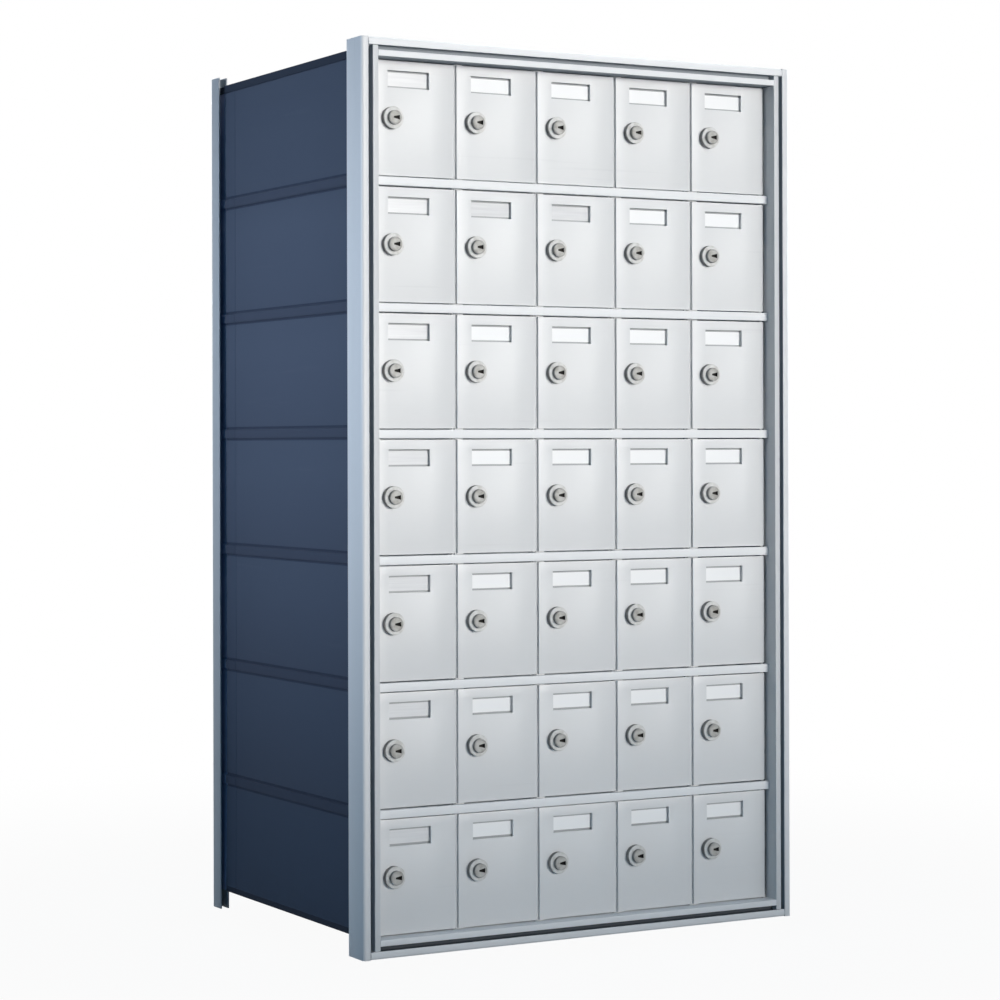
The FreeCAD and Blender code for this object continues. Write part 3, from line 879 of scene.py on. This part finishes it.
@dataclass
class FrontFrame:
    """Stiles, header and sill: one profile with two lips and a groove, coped at the corners."""

    lip: float = 8.5
    groove: float = 5.0
    groove_depth: float = 9.0
    wall: float = 1.8
    leg: float = 36.0
    seat: float = 46.0
    door_stop: float = 21.3
    inner_leg: float = 9.2
    cover_leg: float = 10.7
    cope_gap: float = 0.4
    lip_round: float = 3.0
    inner_round: float = 0.7
    groove_round: float = 0.4
    fine: float = 0.3
    end_slant: float = 0.5

    @property
    def groove_end(self) -> float:
        """Far wall of the groove, from the outer edge."""
        return self.lip + self.groove

    @property
    def back(self) -> float:
        """Back of the groove's floor."""
        return self.groove_depth + self.wall

    @property
    def cope(self) -> float:
        """Length by which a stile's inner lip is cut back for the header or the sill."""
        return self.lip + self.cope_gap

    @property
    def lip_face(self) -> list[Corner]:
        """Front corners of the outer lip."""
        return [(0.0, 0.0, self.lip_round), (self.lip, 0.0, self.inner_round)]

    def third_leg(self, leg: float | None) -> list[Corner]:
        """Leg behind the groove.

        Args:
            leg: its place, if there is one.

        Returns:
            Its corners, or none.
        """
        if leg is None:
            return []
        far = leg + self.wall
        return rounded(self.fine, (far, self.back), (far, self.leg), (leg, self.leg),
                       (leg, self.back))

    def outer_part(self, leg: float | None) -> list[Corner]:
        """Outer lip behind its face.

        Args:
            leg: place of a third leg, if there is one.

        Returns:
            Corners from the groove's back to the outer wall.
        """
        inside = self.lip - self.wall
        return self.third_leg(leg) + rounded(
            self.fine, (inside, self.back), (inside, self.wall), (self.wall, self.wall),
            (self.wall, self.leg), (0.0, self.leg))

    def inner_part(self, inner_depth: float) -> list[Corner]:
        """Inner lip with the leg next to the doors.

        Args:
            inner_depth: depth of that leg.

        Returns:
            Corners from the groove's edge round to the groove's back.
        """
        face = BANK.frame_face
        near = self.groove_end + self.wall
        far = face - self.wall
        return rounded(self.inner_round, (self.groove_end, 0.0), (face, 0.0)) + rounded(
            self.fine, (face, inner_depth), (far, inner_depth), (far, self.wall),
            (near, self.wall), (near, self.back))

    def in_groove(self, across: float, spot: Vector, normal: Vector, axis: Axis) -> bool:
        """Whether a face lies in the groove.

        Args:
            across: its distance from the profile's outer edge.
            spot: its middle.
            normal: its normal.
            axis: direction of the bar.

        Returns:
            True for the groove's walls and floor.
        """
        back = spot.y - BANK.front
        between = self.lip - self.fine < across < self.groove_end + self.fine
        sunk = self.inner_round < back < self.groove_depth + self.fine
        return between and sunk and abs(normal @ axis.unit) < self.end_slant

    def profile(self, inner_depth: float, leg: float | None) -> list[Corner]:
        """Outline of the whole profile.

        Args:
            inner_depth: depth of the leg next to the doors.
            leg: place of a third leg, if there is one.

        Returns:
            Corners across the face from its outer edge, back from the front, with radii.
        """
        floor = rounded(self.groove_round, (self.lip, self.groove_depth),
                        (self.groove_end, self.groove_depth))
        return [*self.lip_face, *floor, *self.inner_part(inner_depth), *self.outer_part(leg)]

    def stile(self, side: Side) -> list[Solid]:
        """Shapes of one stile: outer lip of full height, inner lip cut back at both ends.

        Args:
            side: left or right.

        Returns:
            The solids.
        """
        face = BANK.frame_face
        near = face - self.wall
        split = rounded(0.0, (self.groove_end, self.groove_depth), (self.groove_end, self.back))
        outer = [*self.lip_face, (self.lip, self.groove_depth, self.groove_round), *split,
                 *self.outer_part(self.inner_leg)]
        inner = [*self.inner_part(self.door_stop), split[-1]]
        stub = [*rounded(0.0, (near, self.groove_depth), (face, self.groove_depth)),
                *rounded(self.fine, (face, self.door_stop), (near, self.door_stop))]
        top = BANK.height
        upper = top - self.cope
        made = []
        for corners, start, end in ((outer, 0.0, top), (inner, self.cope, upper),
                                    (stub, 0.0, self.cope), (stub, upper, top)):
            outline = [(side.x(across), BANK.front + back, radius)
                       for across, back, radius in corners]
            bar = Solid.prism(outline, Axis.Z, start, end)
            # The groove's walls and floor take painted shade.
            bar.mark(GROOVE_PAINTED_SHADE, lambda spot, normal: self.in_groove(
                abs(spot.x - side.x(0.0)), spot, normal, Axis.Z))
            made.append(bar)
        return made

    def cross_bar(self, edge: float, up: int, inner_depth: float, leg: float | None,
                  shade: Finish) -> list[Solid]:
        """Shapes of the header or the sill, with its outer lip run on to the stiles' outer lips.

        Args:
            edge: height of its outer edge.
            up: 1 where the profile goes up from that edge, or -1.
            inner_depth: depth of the leg next to the doors.
            leg: place of a third leg, if there is one.
            shade: painted shade for its groove and for its face towards the floor.

        Returns:
            The solids.
        """
        near = BANK.width / 2 - BANK.frame_face
        far = BANK.width / 2 - self.cope
        tail = self.groove_depth - self.cope_gap
        run_on = self.lip_face + rounded(0.0, (self.lip, self.wall), (self.wall, self.wall),
                                         (self.wall, tail), (0.0, tail))

        def takes_painted_shade(spot: Vector, normal: Vector) -> bool:
            """Whether a face takes painted shade: in the groove, or on the inner edge looking down.

            Args:
                spot: its middle.
                normal: its normal.

            Returns:
                True for the faces of painted shade.
            """
            across = abs(spot.z - edge)
            below = across > BANK.frame_face - self.fine and normal.z < -STRAIGHT
            return below or self.in_groove(across, spot, normal, Axis.X)

        made = []
        for corners, start, end in ((self.profile(inner_depth, leg), -near, near),
                                    (run_on, -far, -near), (run_on, near, far)):
            outline = [(BANK.front + back, edge + up * across, radius)
                       for across, back, radius in corners]
            bar = Solid.prism(outline, Axis.X, start, end)
            # The groove and the downward face of the inner edge take painted shade.
            bar.mark(shade, takes_painted_shade)
            made.append(bar)
        return made

    def build(self) -> None:
        """Make the four members."""
        for side in Side:
            name = f"front_stile_{side.value}"
            # The inner lip of each stile takes the darker copy of the frame metal, which is painted
            # shade.
            finishes = (FRAME_METAL, INNER_LIP_PAINTED_SHADE, FRAME_METAL, FRAME_METAL)
            shape = Shape(name, *zip(self.stile(side), finishes))
            shape.place(f"stile_{side.value}", CABINET, Slot.FRAME, stands_for=(name,))
        # The header's groove and underside take painted shade, the sill's groove a darker painted
        # shade.
        above = self.cross_bar(BANK.height, -1, self.leg, self.cover_leg, GROOVE_PAINTED_SHADE)
        below = self.cross_bar(0.0, 1, self.seat, None, SILL_GROOVE_PAINTED_SHADE)
        for name, solids in (("header", above), ("sill", below)):
            # Header and sill take the brighter copy of the frame metal, which is painted light.
            shape = Shape(name, *((solid, BAR_PAINTED_LIGHT) for solid in solids))
            shape.place(name, CABINET, Slot.FRAME, stands_for=(f"front_{name}",))


@dataclass
class Rails:
    """Channel-shaped rails between the rows of doors."""

    front: float = 14.0
    back: float = 19.4
    face: float = 2.0
    wall: float = 1.5
    edge_round: float = 0.9
    fine: float = 0.3

    def build(self) -> None:
        """Make six rails as one piece."""
        top = BANK.rail_height
        web = self.front + self.face
        upper = top - self.wall
        legs = rounded(self.fine, (self.back, 0.0), (self.back, self.wall), (web, self.wall),
                       (web, upper), (self.back, upper), (self.back, top))
        corners = [(self.front, 0.0, self.edge_round), *legs, (self.front, top, self.edge_round)]
        lowest = BANK.rail_bottom(BANK.rows - 1)
        outline = [(BANK.front + back, lowest + up, radius) for back, up, radius in corners]
        half = BANK.width / 2 - BANK.frame_face
        rail = Solid.prism(outline, Axis.X, -half, half)
        rail.repeat([Axis.Z.unit * BANK.row_pitch * step for step in range(1, BANK.rows - 1)])
        # The rails take the brighter copy of the frame metal, which is painted light.
        shape = Shape("rails", (rail, BAR_PAINTED_LIGHT))
        shape.place("rails", CABINET, Slot.FRAME, stands_for=("door_rails",))


@dataclass
class SidePanels:
    """Seven lapped tiers of painted sheet on each side."""

    inset: float = 8.0
    sheet: float = 1.2
    front: float = 11.1
    end_gap: float = 2.0
    lap: float = 9.0
    lap_gap: float = 0.3
    rail_wall: float = 1.5
    cover_drop: float = 10.7
    bead: float = 3.0
    bead_depth: float = 0.9
    hem: float = 6.0
    margin: float = 23.0
    seam: float = 51.0
    seam_width: float = 1.2
    seam_depth: float = 0.5
    edge_round: float = 0.3
    bend_round: float = 0.4
    lap_slope: float = 0.6
    slope_round: float = 0.5

    def lower_edge(self, row: int) -> float:
        """Lower edge of a tier's sheet."""
        lowest = BANK.frame_face + self.sheet
        return lowest if row == BANK.rows else BANK.rail_bottom(row) + self.rail_wall

    def beads(self, row: int) -> list[float]:
        """Lower edges of a tier's pressed beads: above its own lap and below the next one."""
        beads = [] if row == BANK.rows else [self.lower_edge(row) + self.lap + self.sheet]
        return beads if row == 1 else [*beads, self.lower_edge(row - 1) - self.bead]

    def section(self, row: int) -> list[Corner]:
        """Section of a tier's sheet.

        Args:
            row: 1 at the top.

        Returns:
            Corners in from the side and up, with radii.
        """
        low = self.lower_edge(row)
        bend = low + self.lap
        top = BANK.height - self.cover_drop
        if row > 1:
            top = self.lower_edge(row - 1) + self.lap - self.lap_gap
        outer = self.inset - self.sheet
        inner = self.inset + self.sheet
        pressed = self.inset + self.bead_depth
        corners = [*rounded(self.edge_round, (outer, low), (self.inset, low)),
                   *rounded(self.bend_round, (self.inset, bend), (inner, bend)),
                   *rounded(self.edge_round, (inner, top), (self.inset, top))]
        for start in reversed(self.beads(row)):
            corners += rounded(0.0, (self.inset, start + self.bead),
                               (pressed, start + self.bead / 2), (self.inset, start))
        return [*corners, (outer, bend + self.sheet - self.lap_slope, self.slope_round)]

    def press_seam(self, tier: Solid, side: Side) -> None:
        """Press an upright bead into a tier near its rear end, and divide off its rear margin.

        Args:
            tier: the tier's sheet.
            side: left or right.
        """
        middle = -BANK.front - self.seam
        half = self.seam_width / 2
        for place in (middle - half, middle, middle + half, -BANK.front - self.margin):
            tier.slice(Vector((0.0, place, 0.0)), Axis.Y.unit)
        inward = self.seam_depth if side is Side.LEFT else -self.seam_depth
        verts = [vert for vert in tier.bm.verts if abs(vert.co.y - middle) < NEAR]
        bmesh.ops.translate(tier.bm, vec=(inward, 0.0, 0.0), verts=verts)

    def tier(self, side: Side, row: int) -> Solid:
        """One tier, with its lap or hem and its beads in finishes of painted shade, and its rear
        margin in one of painted light.

        Args:
            side: left or right.
            row: 1 at the top.

        Returns:
            The tier.
        """
        outline = [(side.x(inwards), up, radius) for inwards, up, radius in self.section(row)]
        end = -BANK.front - self.end_gap
        tier = Solid.prism(outline, Axis.Y, BANK.front + self.front, end)
        self.press_seam(tier, side)
        beads = self.beads(row)
        low = self.lower_edge(row)
        if row == BANK.rows:
            # The bottom hem takes painted shade.
            tier.slice(Vector((0.0, 0.0, low + self.hem)), Axis.Z.unit)
            tier.mark(SLATE_PAINTED_SHADE, lambda spot, _: spot.z < low + self.hem)
        else:
            # The lap band takes painted shade.
            tier.mark(LAP_PAINTED_SHADE, lambda spot, _: spot.z < low + self.lap + self.sheet)
        # The pressed beads take painted shade.
        tier.mark(BEAD_PAINTED_SHADE, lambda spot, _: any(
            0.0 < spot.z - bead < self.bead for bead in beads))
        # The rear margin takes painted light.
        tier.mark(REAR_MARGIN_PAINTED_LIGHT, lambda spot, _: spot.y > -BANK.front - self.margin)
        return tier

    def build(self) -> None:
        """Make both sides."""
        for side in Side:
            name = f"side_panels_{side.value}"
            tiers = [(self.tier(side, row), SLATE) for row in range(1, BANK.rows + 1)]
            shape = Shape(name, *tiers)
            shape.place(f"panels_{side.value}", CABINET, Slot.PAINT, stands_for=(name,))


@dataclass
class RearUprights:
    """Channels over the rear ends of the side sheets, which are also the rear feet."""

    depth: float = 22.0
    wall: float = 1.8
    inner: float = 9.2
    bend: float = 1.6
    inner_bend: float = 0.5
    edge_round: float = 0.4

    def build(self) -> None:
        """Make both uprights."""
        back = -BANK.front
        front = back - self.depth
        web = back - self.wall
        far = self.inner + self.wall
        corners = [*rounded(self.edge_round, (0.0, front), (self.wall, front)),
                   *rounded(self.inner_bend, (self.wall, web), (self.inner, web)),
                   *rounded(self.edge_round, (self.inner, front), (far, front)),
                   *rounded(self.bend, (far, back), (0.0, back))]
        for side in Side:
            outline = [(side.x(inwards), along, radius) for inwards, along, radius in corners]
            name = f"rear_upright_{side.value}"
            # The uprights take the darker aluminium, which is painted shade.
            shape = Shape(name, (Solid.prism(outline, Axis.Z, 0.0, BANK.height), UPRIGHT_PAINTED_SHADE))
            shape.place(f"upright_{side.value}", CABINET, Slot.FRAME, stands_for=(name,))


@dataclass
class InnerSheets:
    """Pieces whose solids stay in view: they get rounded edges and their finishes."""

    edge: float = 0.3
    edge_steps: int = 2

    def dress(self) -> None:
        """Finish the cover, the pan, the shelves, the dividers, the mullions and the rods."""
        finishes = {
            # Cover and pan take the darkest slate, which is painted shade.
            "top_cover": SLATE_PAINTED_SHADE, "floor_pan": SLATE_PAINTED_SHADE, "shelves": INNER_METAL,
            # The mullions take the brighter copy of the frame metal, which is painted light.
            "dividers": INNER_METAL, "mullions": BAR_PAINTED_LIGHT, "hinge_rods": ROD_METAL,
        }
        for name, finish in finishes.items():
            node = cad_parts[name]
            node.data.materials.clear()
            node.data.materials.append(finish.material())
            weld = node.modifiers.new("weld", "WELD")
            weld.merge_threshold = NEAR * MM
            bevel = node.modifiers.new("bevel", "BEVEL")
            bevel.width = self.edge * MM
            bevel.segments = self.edge_steps
            bevel.limit_method = "ANGLE"
            bevel.angle_limit = SHARP
            log.info("%s dressed with %s", name, finish.name)


@dataclass
class DoorLeaf:
    """Flat leaf with a rolled hinge barrel and a card window."""

    thickness: float = 3.0
    barrel: float = 3.0
    barrel_chamfer: float = 0.4
    barrel_steps: int = 24
    bore: float = 1.56
    bore_chamfer: float = 0.3
    root_wall: float = 1.0
    root_depth: float = 2.2
    root_step: float = 1.9
    window_edge: float = 18.0
    window_width: float = 50.4
    window_top: float = 10.5
    window_height: float = 18.5
    window_round: float = 0.25
    edge_round: float = 0.6

    @property
    def window(self) -> tuple[Vector, Vector]:
        """Card window.

        Returns:
            Its lower left and its upper right corner.
        """
        top = BANK.door_height - self.window_top
        return (Vector((self.window_edge, 0.0, top - self.window_height)),
                Vector((self.window_edge + self.window_width, 0.0, top)))

    def shape(self) -> Shape:
        """Leaf at the origin.

        Returns:
            The leaf's mesh.
        """
        axis = BANK.door_width - self.barrel
        root = axis - self.root_step
        outline = rounded(0.0, (0.0, self.thickness), (0.0, 0.0), (axis, 0.0),
                          (axis, self.root_wall), (root, self.root_depth), (root, self.thickness))
        tall = BANK.door_height
        plate = Solid.prism(outline, Axis.Z, 0.0, tall)
        plate.soften(self.edge_round, segments=3)
        plate.pierce(*self.window).soften(self.window_round, segments=2)
        shoulder = self.barrel - self.barrel_chamfer
        ring = [
            (self.bore, self.bore_chamfer), (shoulder, 0.0), (self.barrel, self.barrel_chamfer),
            (self.barrel, tall - self.barrel_chamfer), (shoulder, tall),
            (self.bore, tall - self.bore_chamfer),
        ]
        tube = Solid.turned(ring, Axis.Z, (axis, self.barrel), self.barrel_steps, closed=True)
        return Shape("door_leaf", (plate, DOOR_METAL), (tube, DOOR_METAL))


@dataclass
class CardHolder:
    """Channel behind the window with a name card in it."""

    leaf: DoorLeaf
    wall: float = 0.8
    space: float = 1.5
    end: float = 3.0
    lap: float = 4.0
    edge_round: float = 0.2
    bend_round: float = 0.6
    card_thickness: float = 0.4
    card_inset: float = 1.9
    card_gap: float = 1.0
    card_round: float = 1.0
    card_clearance: float = 0.05

    def holder(self) -> Shape:
        """Channel at the origin.

        Returns:
            The channel's mesh.
        """
        front = self.leaf.thickness
        web = front + self.space
        back = web + self.wall
        window_low, window_high = self.leaf.window
        low = window_low.z - self.lap
        high = window_high.z + self.lap
        corners = [(front, low, self.edge_round),
                   *rounded(self.bend_round, (back, low), (back, high)),
                   *rounded(self.edge_round, (front, high), (front, high - self.wall)),
                   *rounded(0.0, (web, high - self.wall), (web, low + self.wall)),
                   (front, low + self.wall, self.edge_round)]
        channel = Solid.prism(corners, Axis.X, window_low.x - self.end, window_high.x + self.end)
        return Shape("card_holder", (channel, HOLDER_METAL))

    def card(self) -> Shape:
        """Card at the origin, against the channel's web.

        Returns:
            The card's mesh.
        """
        window_low, window_high = self.leaf.window
        left = window_low.x - self.end + self.card_gap
        right = window_high.x + self.end - self.card_gap
        low = window_low.z + self.card_inset
        high = window_high.z - self.card_inset
        corners = rounded(self.card_round, (left, low), (right, low), (right, high), (left, high))
        back = self.leaf.thickness + self.space - self.card_clearance
        card = Solid.prism(corners, Axis.Y, back - self.card_thickness, back)
        return Shape("name_card", (card, CARD))


@dataclass
class CamLock:
    """Cam lock: collar and head in front, barrel with a nut behind, plug with a screwed-on cam."""

    edge: float = 22.5
    flange: float = 12.0
    flange_wall: float = 6.0
    flange_chamfer: float = 0.6
    head: float = 7.75
    head_chamfer: float = 0.7
    head_face: float = 1.0
    proud: float = 10.5
    fine: float = 0.3
    face_slant: float = 0.35
    barrel: float = 8.6
    length: float = 16.0
    plug: float = 5.9
    plug_gap: float = 0.12
    plug_sink: float = 0.15
    keyway_length: float = 7.4
    keyway_shift: float = 1.3
    keyway_narrow: float = 0.9
    keyway_wide: float = 2.5
    keyway_depth: float = 3.0
    cam_tail: float = 5.0
    cam_reach: float = 20.0
    cam_width: float = 9.0
    cam_wall: float = 1.6
    cam_round: float = 3.0
    cam_edge: float = 0.2
    screw: float = 3.2
    screw_wall: float = 1.8
    screw_chamfer: float = 0.8
    screw_steps: int = 16
    nut: float = 11.0
    nut_wall: float = 3.0
    nut_edge: float = 0.5
    nut_sides: int = 6
    steps: int = 32

    @property
    def centre(self) -> tuple[float, float]:
        """Axis of the lock on a door leaf."""
        return (self.edge, BANK.door_height / 2)

    @property
    def plug_front(self) -> float:
        """Front face of the plug."""
        return -self.proud + self.plug_sink

    def case(self, leaf: DoorLeaf) -> Shape:
        """Collar, head, barrel and nut at the origin.

        Args:
            leaf: the leaf that the lock sits in.

        Returns:
            The case's mesh.
        """
        bore = self.plug + self.plug_gap
        face = -self.flange_wall
        ring = [
            (bore, -self.proud + self.fine), (bore + self.fine, -self.proud),
            (self.head - self.head_chamfer, -self.proud),
            (self.head, -self.proud + self.head_chamfer), (self.head, face - self.fine),
            (self.head + self.fine, face), (self.flange - self.flange_chamfer, face),
            (self.flange, face + self.flange_chamfer), (self.flange, 0.0), (self.barrel, 0.0),
            (self.barrel, self.length), (bore, self.length),
        ]
        case = Solid.turned(ring, Axis.Y, self.centre, self.steps, closed=True)
        # The side walls of collar and head take painted shade.
        case.mark(LOCK_RIM_PAINTED_SHADE,
                  lambda spot, normal: spot.y < 0.0 and abs(normal.y) < self.face_slant)
        case.mark(HEAD_NICKEL, lambda spot, normal: (
            spot.y < face - self.head_face and abs(normal.y) > self.face_slant))
        nut = Solid.bar(self.nut_sides, self.nut, Axis.Y, self.centre, leaf.thickness,
                        leaf.thickness + self.nut_wall)
        nut.soften(self.nut_edge, segments=1)
        return Shape("lock_case", (case, NICKEL), (nut, ROD_METAL))

    def turning(self) -> Shape:
        """Plug with its keyway, cam and cam screw at the origin.

        Returns:
            The plug's mesh.
        """
        plug = Solid.bar(self.steps, self.plug, Axis.Y, self.centre, self.plug_front, self.length)
        self.cut_keyway(plug)
        left = self.edge - self.cam_width / 2
        right = self.edge + self.cam_width / 2
        low = self.centre[1] - self.cam_reach
        high = self.centre[1] + self.cam_tail
        corners = rounded(self.cam_round, (left, low), (right, low), (right, high), (left, high))
        seat = self.length + self.cam_wall
        cam = Solid.prism(corners, Axis.Y, self.length, seat).soften(self.cam_edge, segments=1)
        top = seat + self.screw_wall
        outline = [(0.0, seat), (self.screw, seat), (self.screw, top - self.screw_chamfer),
                   (self.screw - self.screw_chamfer, top), (0.0, top)]
        screw = Solid.turned(outline, Axis.Y, self.centre, self.screw_steps)
        return Shape("lock_plug", (plug, HEAD_NICKEL), (cam, ROD_METAL), (screw, ROD_METAL))

    def cut_keyway(self, plug: Solid) -> None:
        """Sink a keyway into the plug's face: narrow towards the left, wide towards the right.

        Args:
            plug: the plug, with one flat face in front.
        """
        x, z = self.centre
        x += self.keyway_shift
        half = self.keyway_length / 2
        slope = math.atan2(self.keyway_wide - self.keyway_narrow, self.keyway_length)
        front = self.plug_front
        middle = (self.keyway_narrow + self.keyway_wide) / 2
        planes = [
            (Vector((x - half, front, z)), Axis.X.unit),
            (Vector((x + half, front, z)), Axis.X.unit),
            (Vector((x, front, z + middle)), Vector((-math.sin(slope), 0.0, math.cos(slope)))),
            (Vector((x, front, z - middle)), Vector((math.sin(slope), 0.0, math.cos(slope)))),
        ]
        for place, normal in planes:
            caps = [face for face in plug.bm.faces if face.normal.y < -STRAIGHT]
            plug.slice(place, normal, caps)
        slot = []
        for face in plug.bm.faces:
            spot = face.calc_center_median()
            within = abs(spot.x - x) < half and abs(spot.z - z) < self.keyway_narrow
            if face.normal.y < -STRAIGHT and within:
                slot.append(face)
        sunk = bmesh.ops.extrude_face_region(plug.bm, geom=slot)["geom"]
        left_over = [face for face in slot if face.is_valid]
        bmesh.ops.delete(plug.bm, geom=left_over, context="FACES_ONLY")
        verts = [item for item in sunk if isinstance(item, bmesh.types.BMVert)]
        bmesh.ops.translate(plug.bm, vec=(0.0, self.keyway_depth, 0.0), verts=verts)
        rim = {face for vert in verts for face in vert.link_faces}
        # The keyway's walls and floor take painted shade.
        plug.accents.append(KEYWAY_PAINTED_SHADE)
        for face in rim:
            face.material_index = len(plug.accents)


@dataclass
class Doors:
    """All doors with their cards and locks."""

    leaf: DoorLeaf
    holder: CardHolder
    lock: CamLock

    def build(self) -> None:
        """Place every door's pieces on its own body."""
        leaf = self.leaf.shape()
        holder = self.holder.holder()
        card = self.holder.card()
        case = self.lock.case(self.leaf)
        plug = self.lock.turning()
        for row in range(1, BANK.rows + 1):
            for column in range(1, BANK.columns + 1):
                spot = f"r{row}_c{column}"
                door = f"door_{spot}"
                at = BANK.door_corner(row, column)
                leaf.place(f"leaf_{spot}", door, Slot.DOOR, at, (door,))
                holder.place(f"holder_{spot}", door, Slot.DOOR, at)
                card.place(f"card_{spot}", door, Slot.DOOR, at)
                case.place(f"lock_{spot}", door, Slot.LOCK, at)
                if column == 1:
                    node = f"lock_plug_{spot}"
                    plug.place(f"plug_{spot}", node, Slot.LOCK, at, (node,))
                else:
                    plug.place(f"plug_{spot}", door, Slot.LOCK, at)


@dataclass(frozen=True)
class Lamp:
    """A soft box: places and size in metres, power in watts, spread in degrees."""

    name: str
    place: Triple
    aim: Triple
    power: float
    size: float
    colour: Colour
    spread: float

    def hang(self) -> None:
        """Add the lamp to the scene."""
        data = bpy.data.lights.new(self.name, "AREA")
        data.energy = self.power
        data.size = self.size
        data.color = self.colour
        data.spread = math.radians(self.spread)
        lamp = add_object(self.name, data)
        lamp.location = self.place
        line = Vector(self.aim) - Vector(self.place)
        lamp.rotation_euler = line.to_track_quat("-Z", "Y").to_euler()


@dataclass
class Studio:
    """Floor, light and camera: places in metres, turns in degrees, lens in millimetres."""

    floor_half: float = 9.0
    floor_colour: Colour = (0.15, 0.27, 0.35)
    shadow_share: float = 0.05
    shadow_start: float = 0.3
    shadow_reach: float = 1.6
    ambient: Colour = (0.025, 0.095, 0.165)
    lens: float = 97.419
    sensor: float = 36.0
    camera_place: Triple = (-1.5610, -2.7728, 0.5478)
    yaw: float = 29.436
    pitch: float = -0.206
    roll: float = -0.159
    rise: float = -0.06508
    lamps: tuple[Lamp, ...] = (
        Lamp("key", (0.50, -2.55, 1.08), (0.0, -0.2, 0.842), 6.2, 1.55, (1.0, 0.97, 0.93), 33.4),
        Lamp("left", (-2.60, 0.60, 0.95), (-0.27, -0.02, 0.68), 1.58, 0.7, (0.74, 0.85, 1.0), 28.0),
        Lamp("right", (2.60, 0.60, 0.95), (0.27, 0.05, 0.66), 1.4, 0.8, (0.80, 0.90, 1.0), 30.0),
        Lamp("back", (0.4, 2.6, 1.10), (0.0, 0.2, 0.55), 3.0, 1.0, (1.0, 0.99, 0.97), 34.0),
        Lamp("top", (0.0, 0.1, 3.20), (0.0, 0.0, 1.00), 1.2, 0.5, WHITE, 20.0),
    )

    def white_share(self, graph: Graph) -> Wire:
        """1 for the rays that show the background.

        Args:
            graph: nodes of the floor or the world.

        Returns:
            The share of white.
        """
        path = graph.node("ShaderNodeLightPath")
        camera, glossy, transmission = (
            Wire(graph, path.outputs[f"Is {kind} Ray"])
            for kind in ("Camera", "Glossy", "Transmission"))
        return camera.most(glossy).most(transmission)

    def lay_floor(self) -> None:
        """Pale floor that shows white and keeps a soft shadow."""
        mesh = bpy.data.meshes.new("floor")
        bm = bmesh.new()
        bmesh.ops.create_grid(bm, x_segments=1, y_segments=1, size=self.floor_half)
        bm.to_mesh(mesh)
        bm.free()
        material = bpy.data.materials.new("floor_white")
        material.use_nodes = True
        graph = Graph(material.node_tree)
        diffuse = graph.wire("ShaderNodeBsdfDiffuse", sockets={"Color": (*self.floor_colour, 1.0)})
        glow = graph.wire("ShaderNodeEmission", sockets={"Color": (*WHITE, 1.0), "Strength": 1.0})
        away = graph.wire("ShaderNodeVectorMath", {"operation": "LENGTH"},
                          {0: graph.place(NO_STRETCH)}, "Value")
        reach = away.step(self.shadow_start, self.shadow_reach)
        white = self.white_share(graph) * (reach * self.shadow_share + (1.0 - self.shadow_share))
        mixed = graph.wire("ShaderNodeMixShader", sockets={0: white, 1: diffuse, 2: glow})
        graph.node("ShaderNodeOutputMaterial", sockets={"Surface": mixed})
        mesh.materials.append(material)
        floor = add_object("floor", mesh)

    def set_world(self) -> None:
        """White to the camera and in reflections, a low bluish light on the object."""
        world = bpy.data.worlds.new("studio")
        world.use_nodes = True
        bpy.context.scene.world = world
        graph = Graph(world.node_tree)
        dim, white = (
            graph.wire("ShaderNodeBackground", sockets={"Color": (*colour, 1.0), "Strength": 1.0})
            for colour in (self.ambient, WHITE))
        share = self.white_share(graph)
        mixed = graph.wire("ShaderNodeMixShader", sockets={0: share, 1: dim, 2: white})
        graph.node("ShaderNodeOutputWorld", sockets={"Surface": mixed})

    def set_camera(self) -> None:
        """Camera at the photograph's angle."""
        data = bpy.data.cameras.new("camera")
        data.lens = self.lens
        data.sensor_width = self.sensor
        data.shift_y = self.rise
        camera = add_object("camera", data)
        camera.location = self.camera_place
        level = Matrix.Rotation(math.radians(90.0 - self.pitch), 4, "X")
        heading = Matrix.Rotation(math.radians(-self.yaw), 4, "Z")
        tilt = Matrix.Rotation(math.radians(self.roll), 4, "Z")
        camera.rotation_euler = (heading @ level @ tilt).to_euler()
        bpy.context.scene.camera = camera

    def build(self) -> None:
        """Set up everything around the object."""
        self.set_camera()
        self.lay_floor()
        self.set_world()
        for lamp in self.lamps:
            lamp.hang()
        bpy.context.scene.view_settings.view_transform = "Standard"


def main() -> None:
    """Build every sub-assembly in order."""
    logging.basicConfig(level=logging.INFO, format="%(name)s: %(message)s")
    Studio().build()
    FrontFrame().build()
    Rails().build()
    SidePanels().build()
    RearUprights().build()
    InnerSheets().dress()
    leaf = DoorLeaf()
    Doors(leaf, CardHolder(leaf), CamLock()).build()


if __name__ == "__main__":
    main()
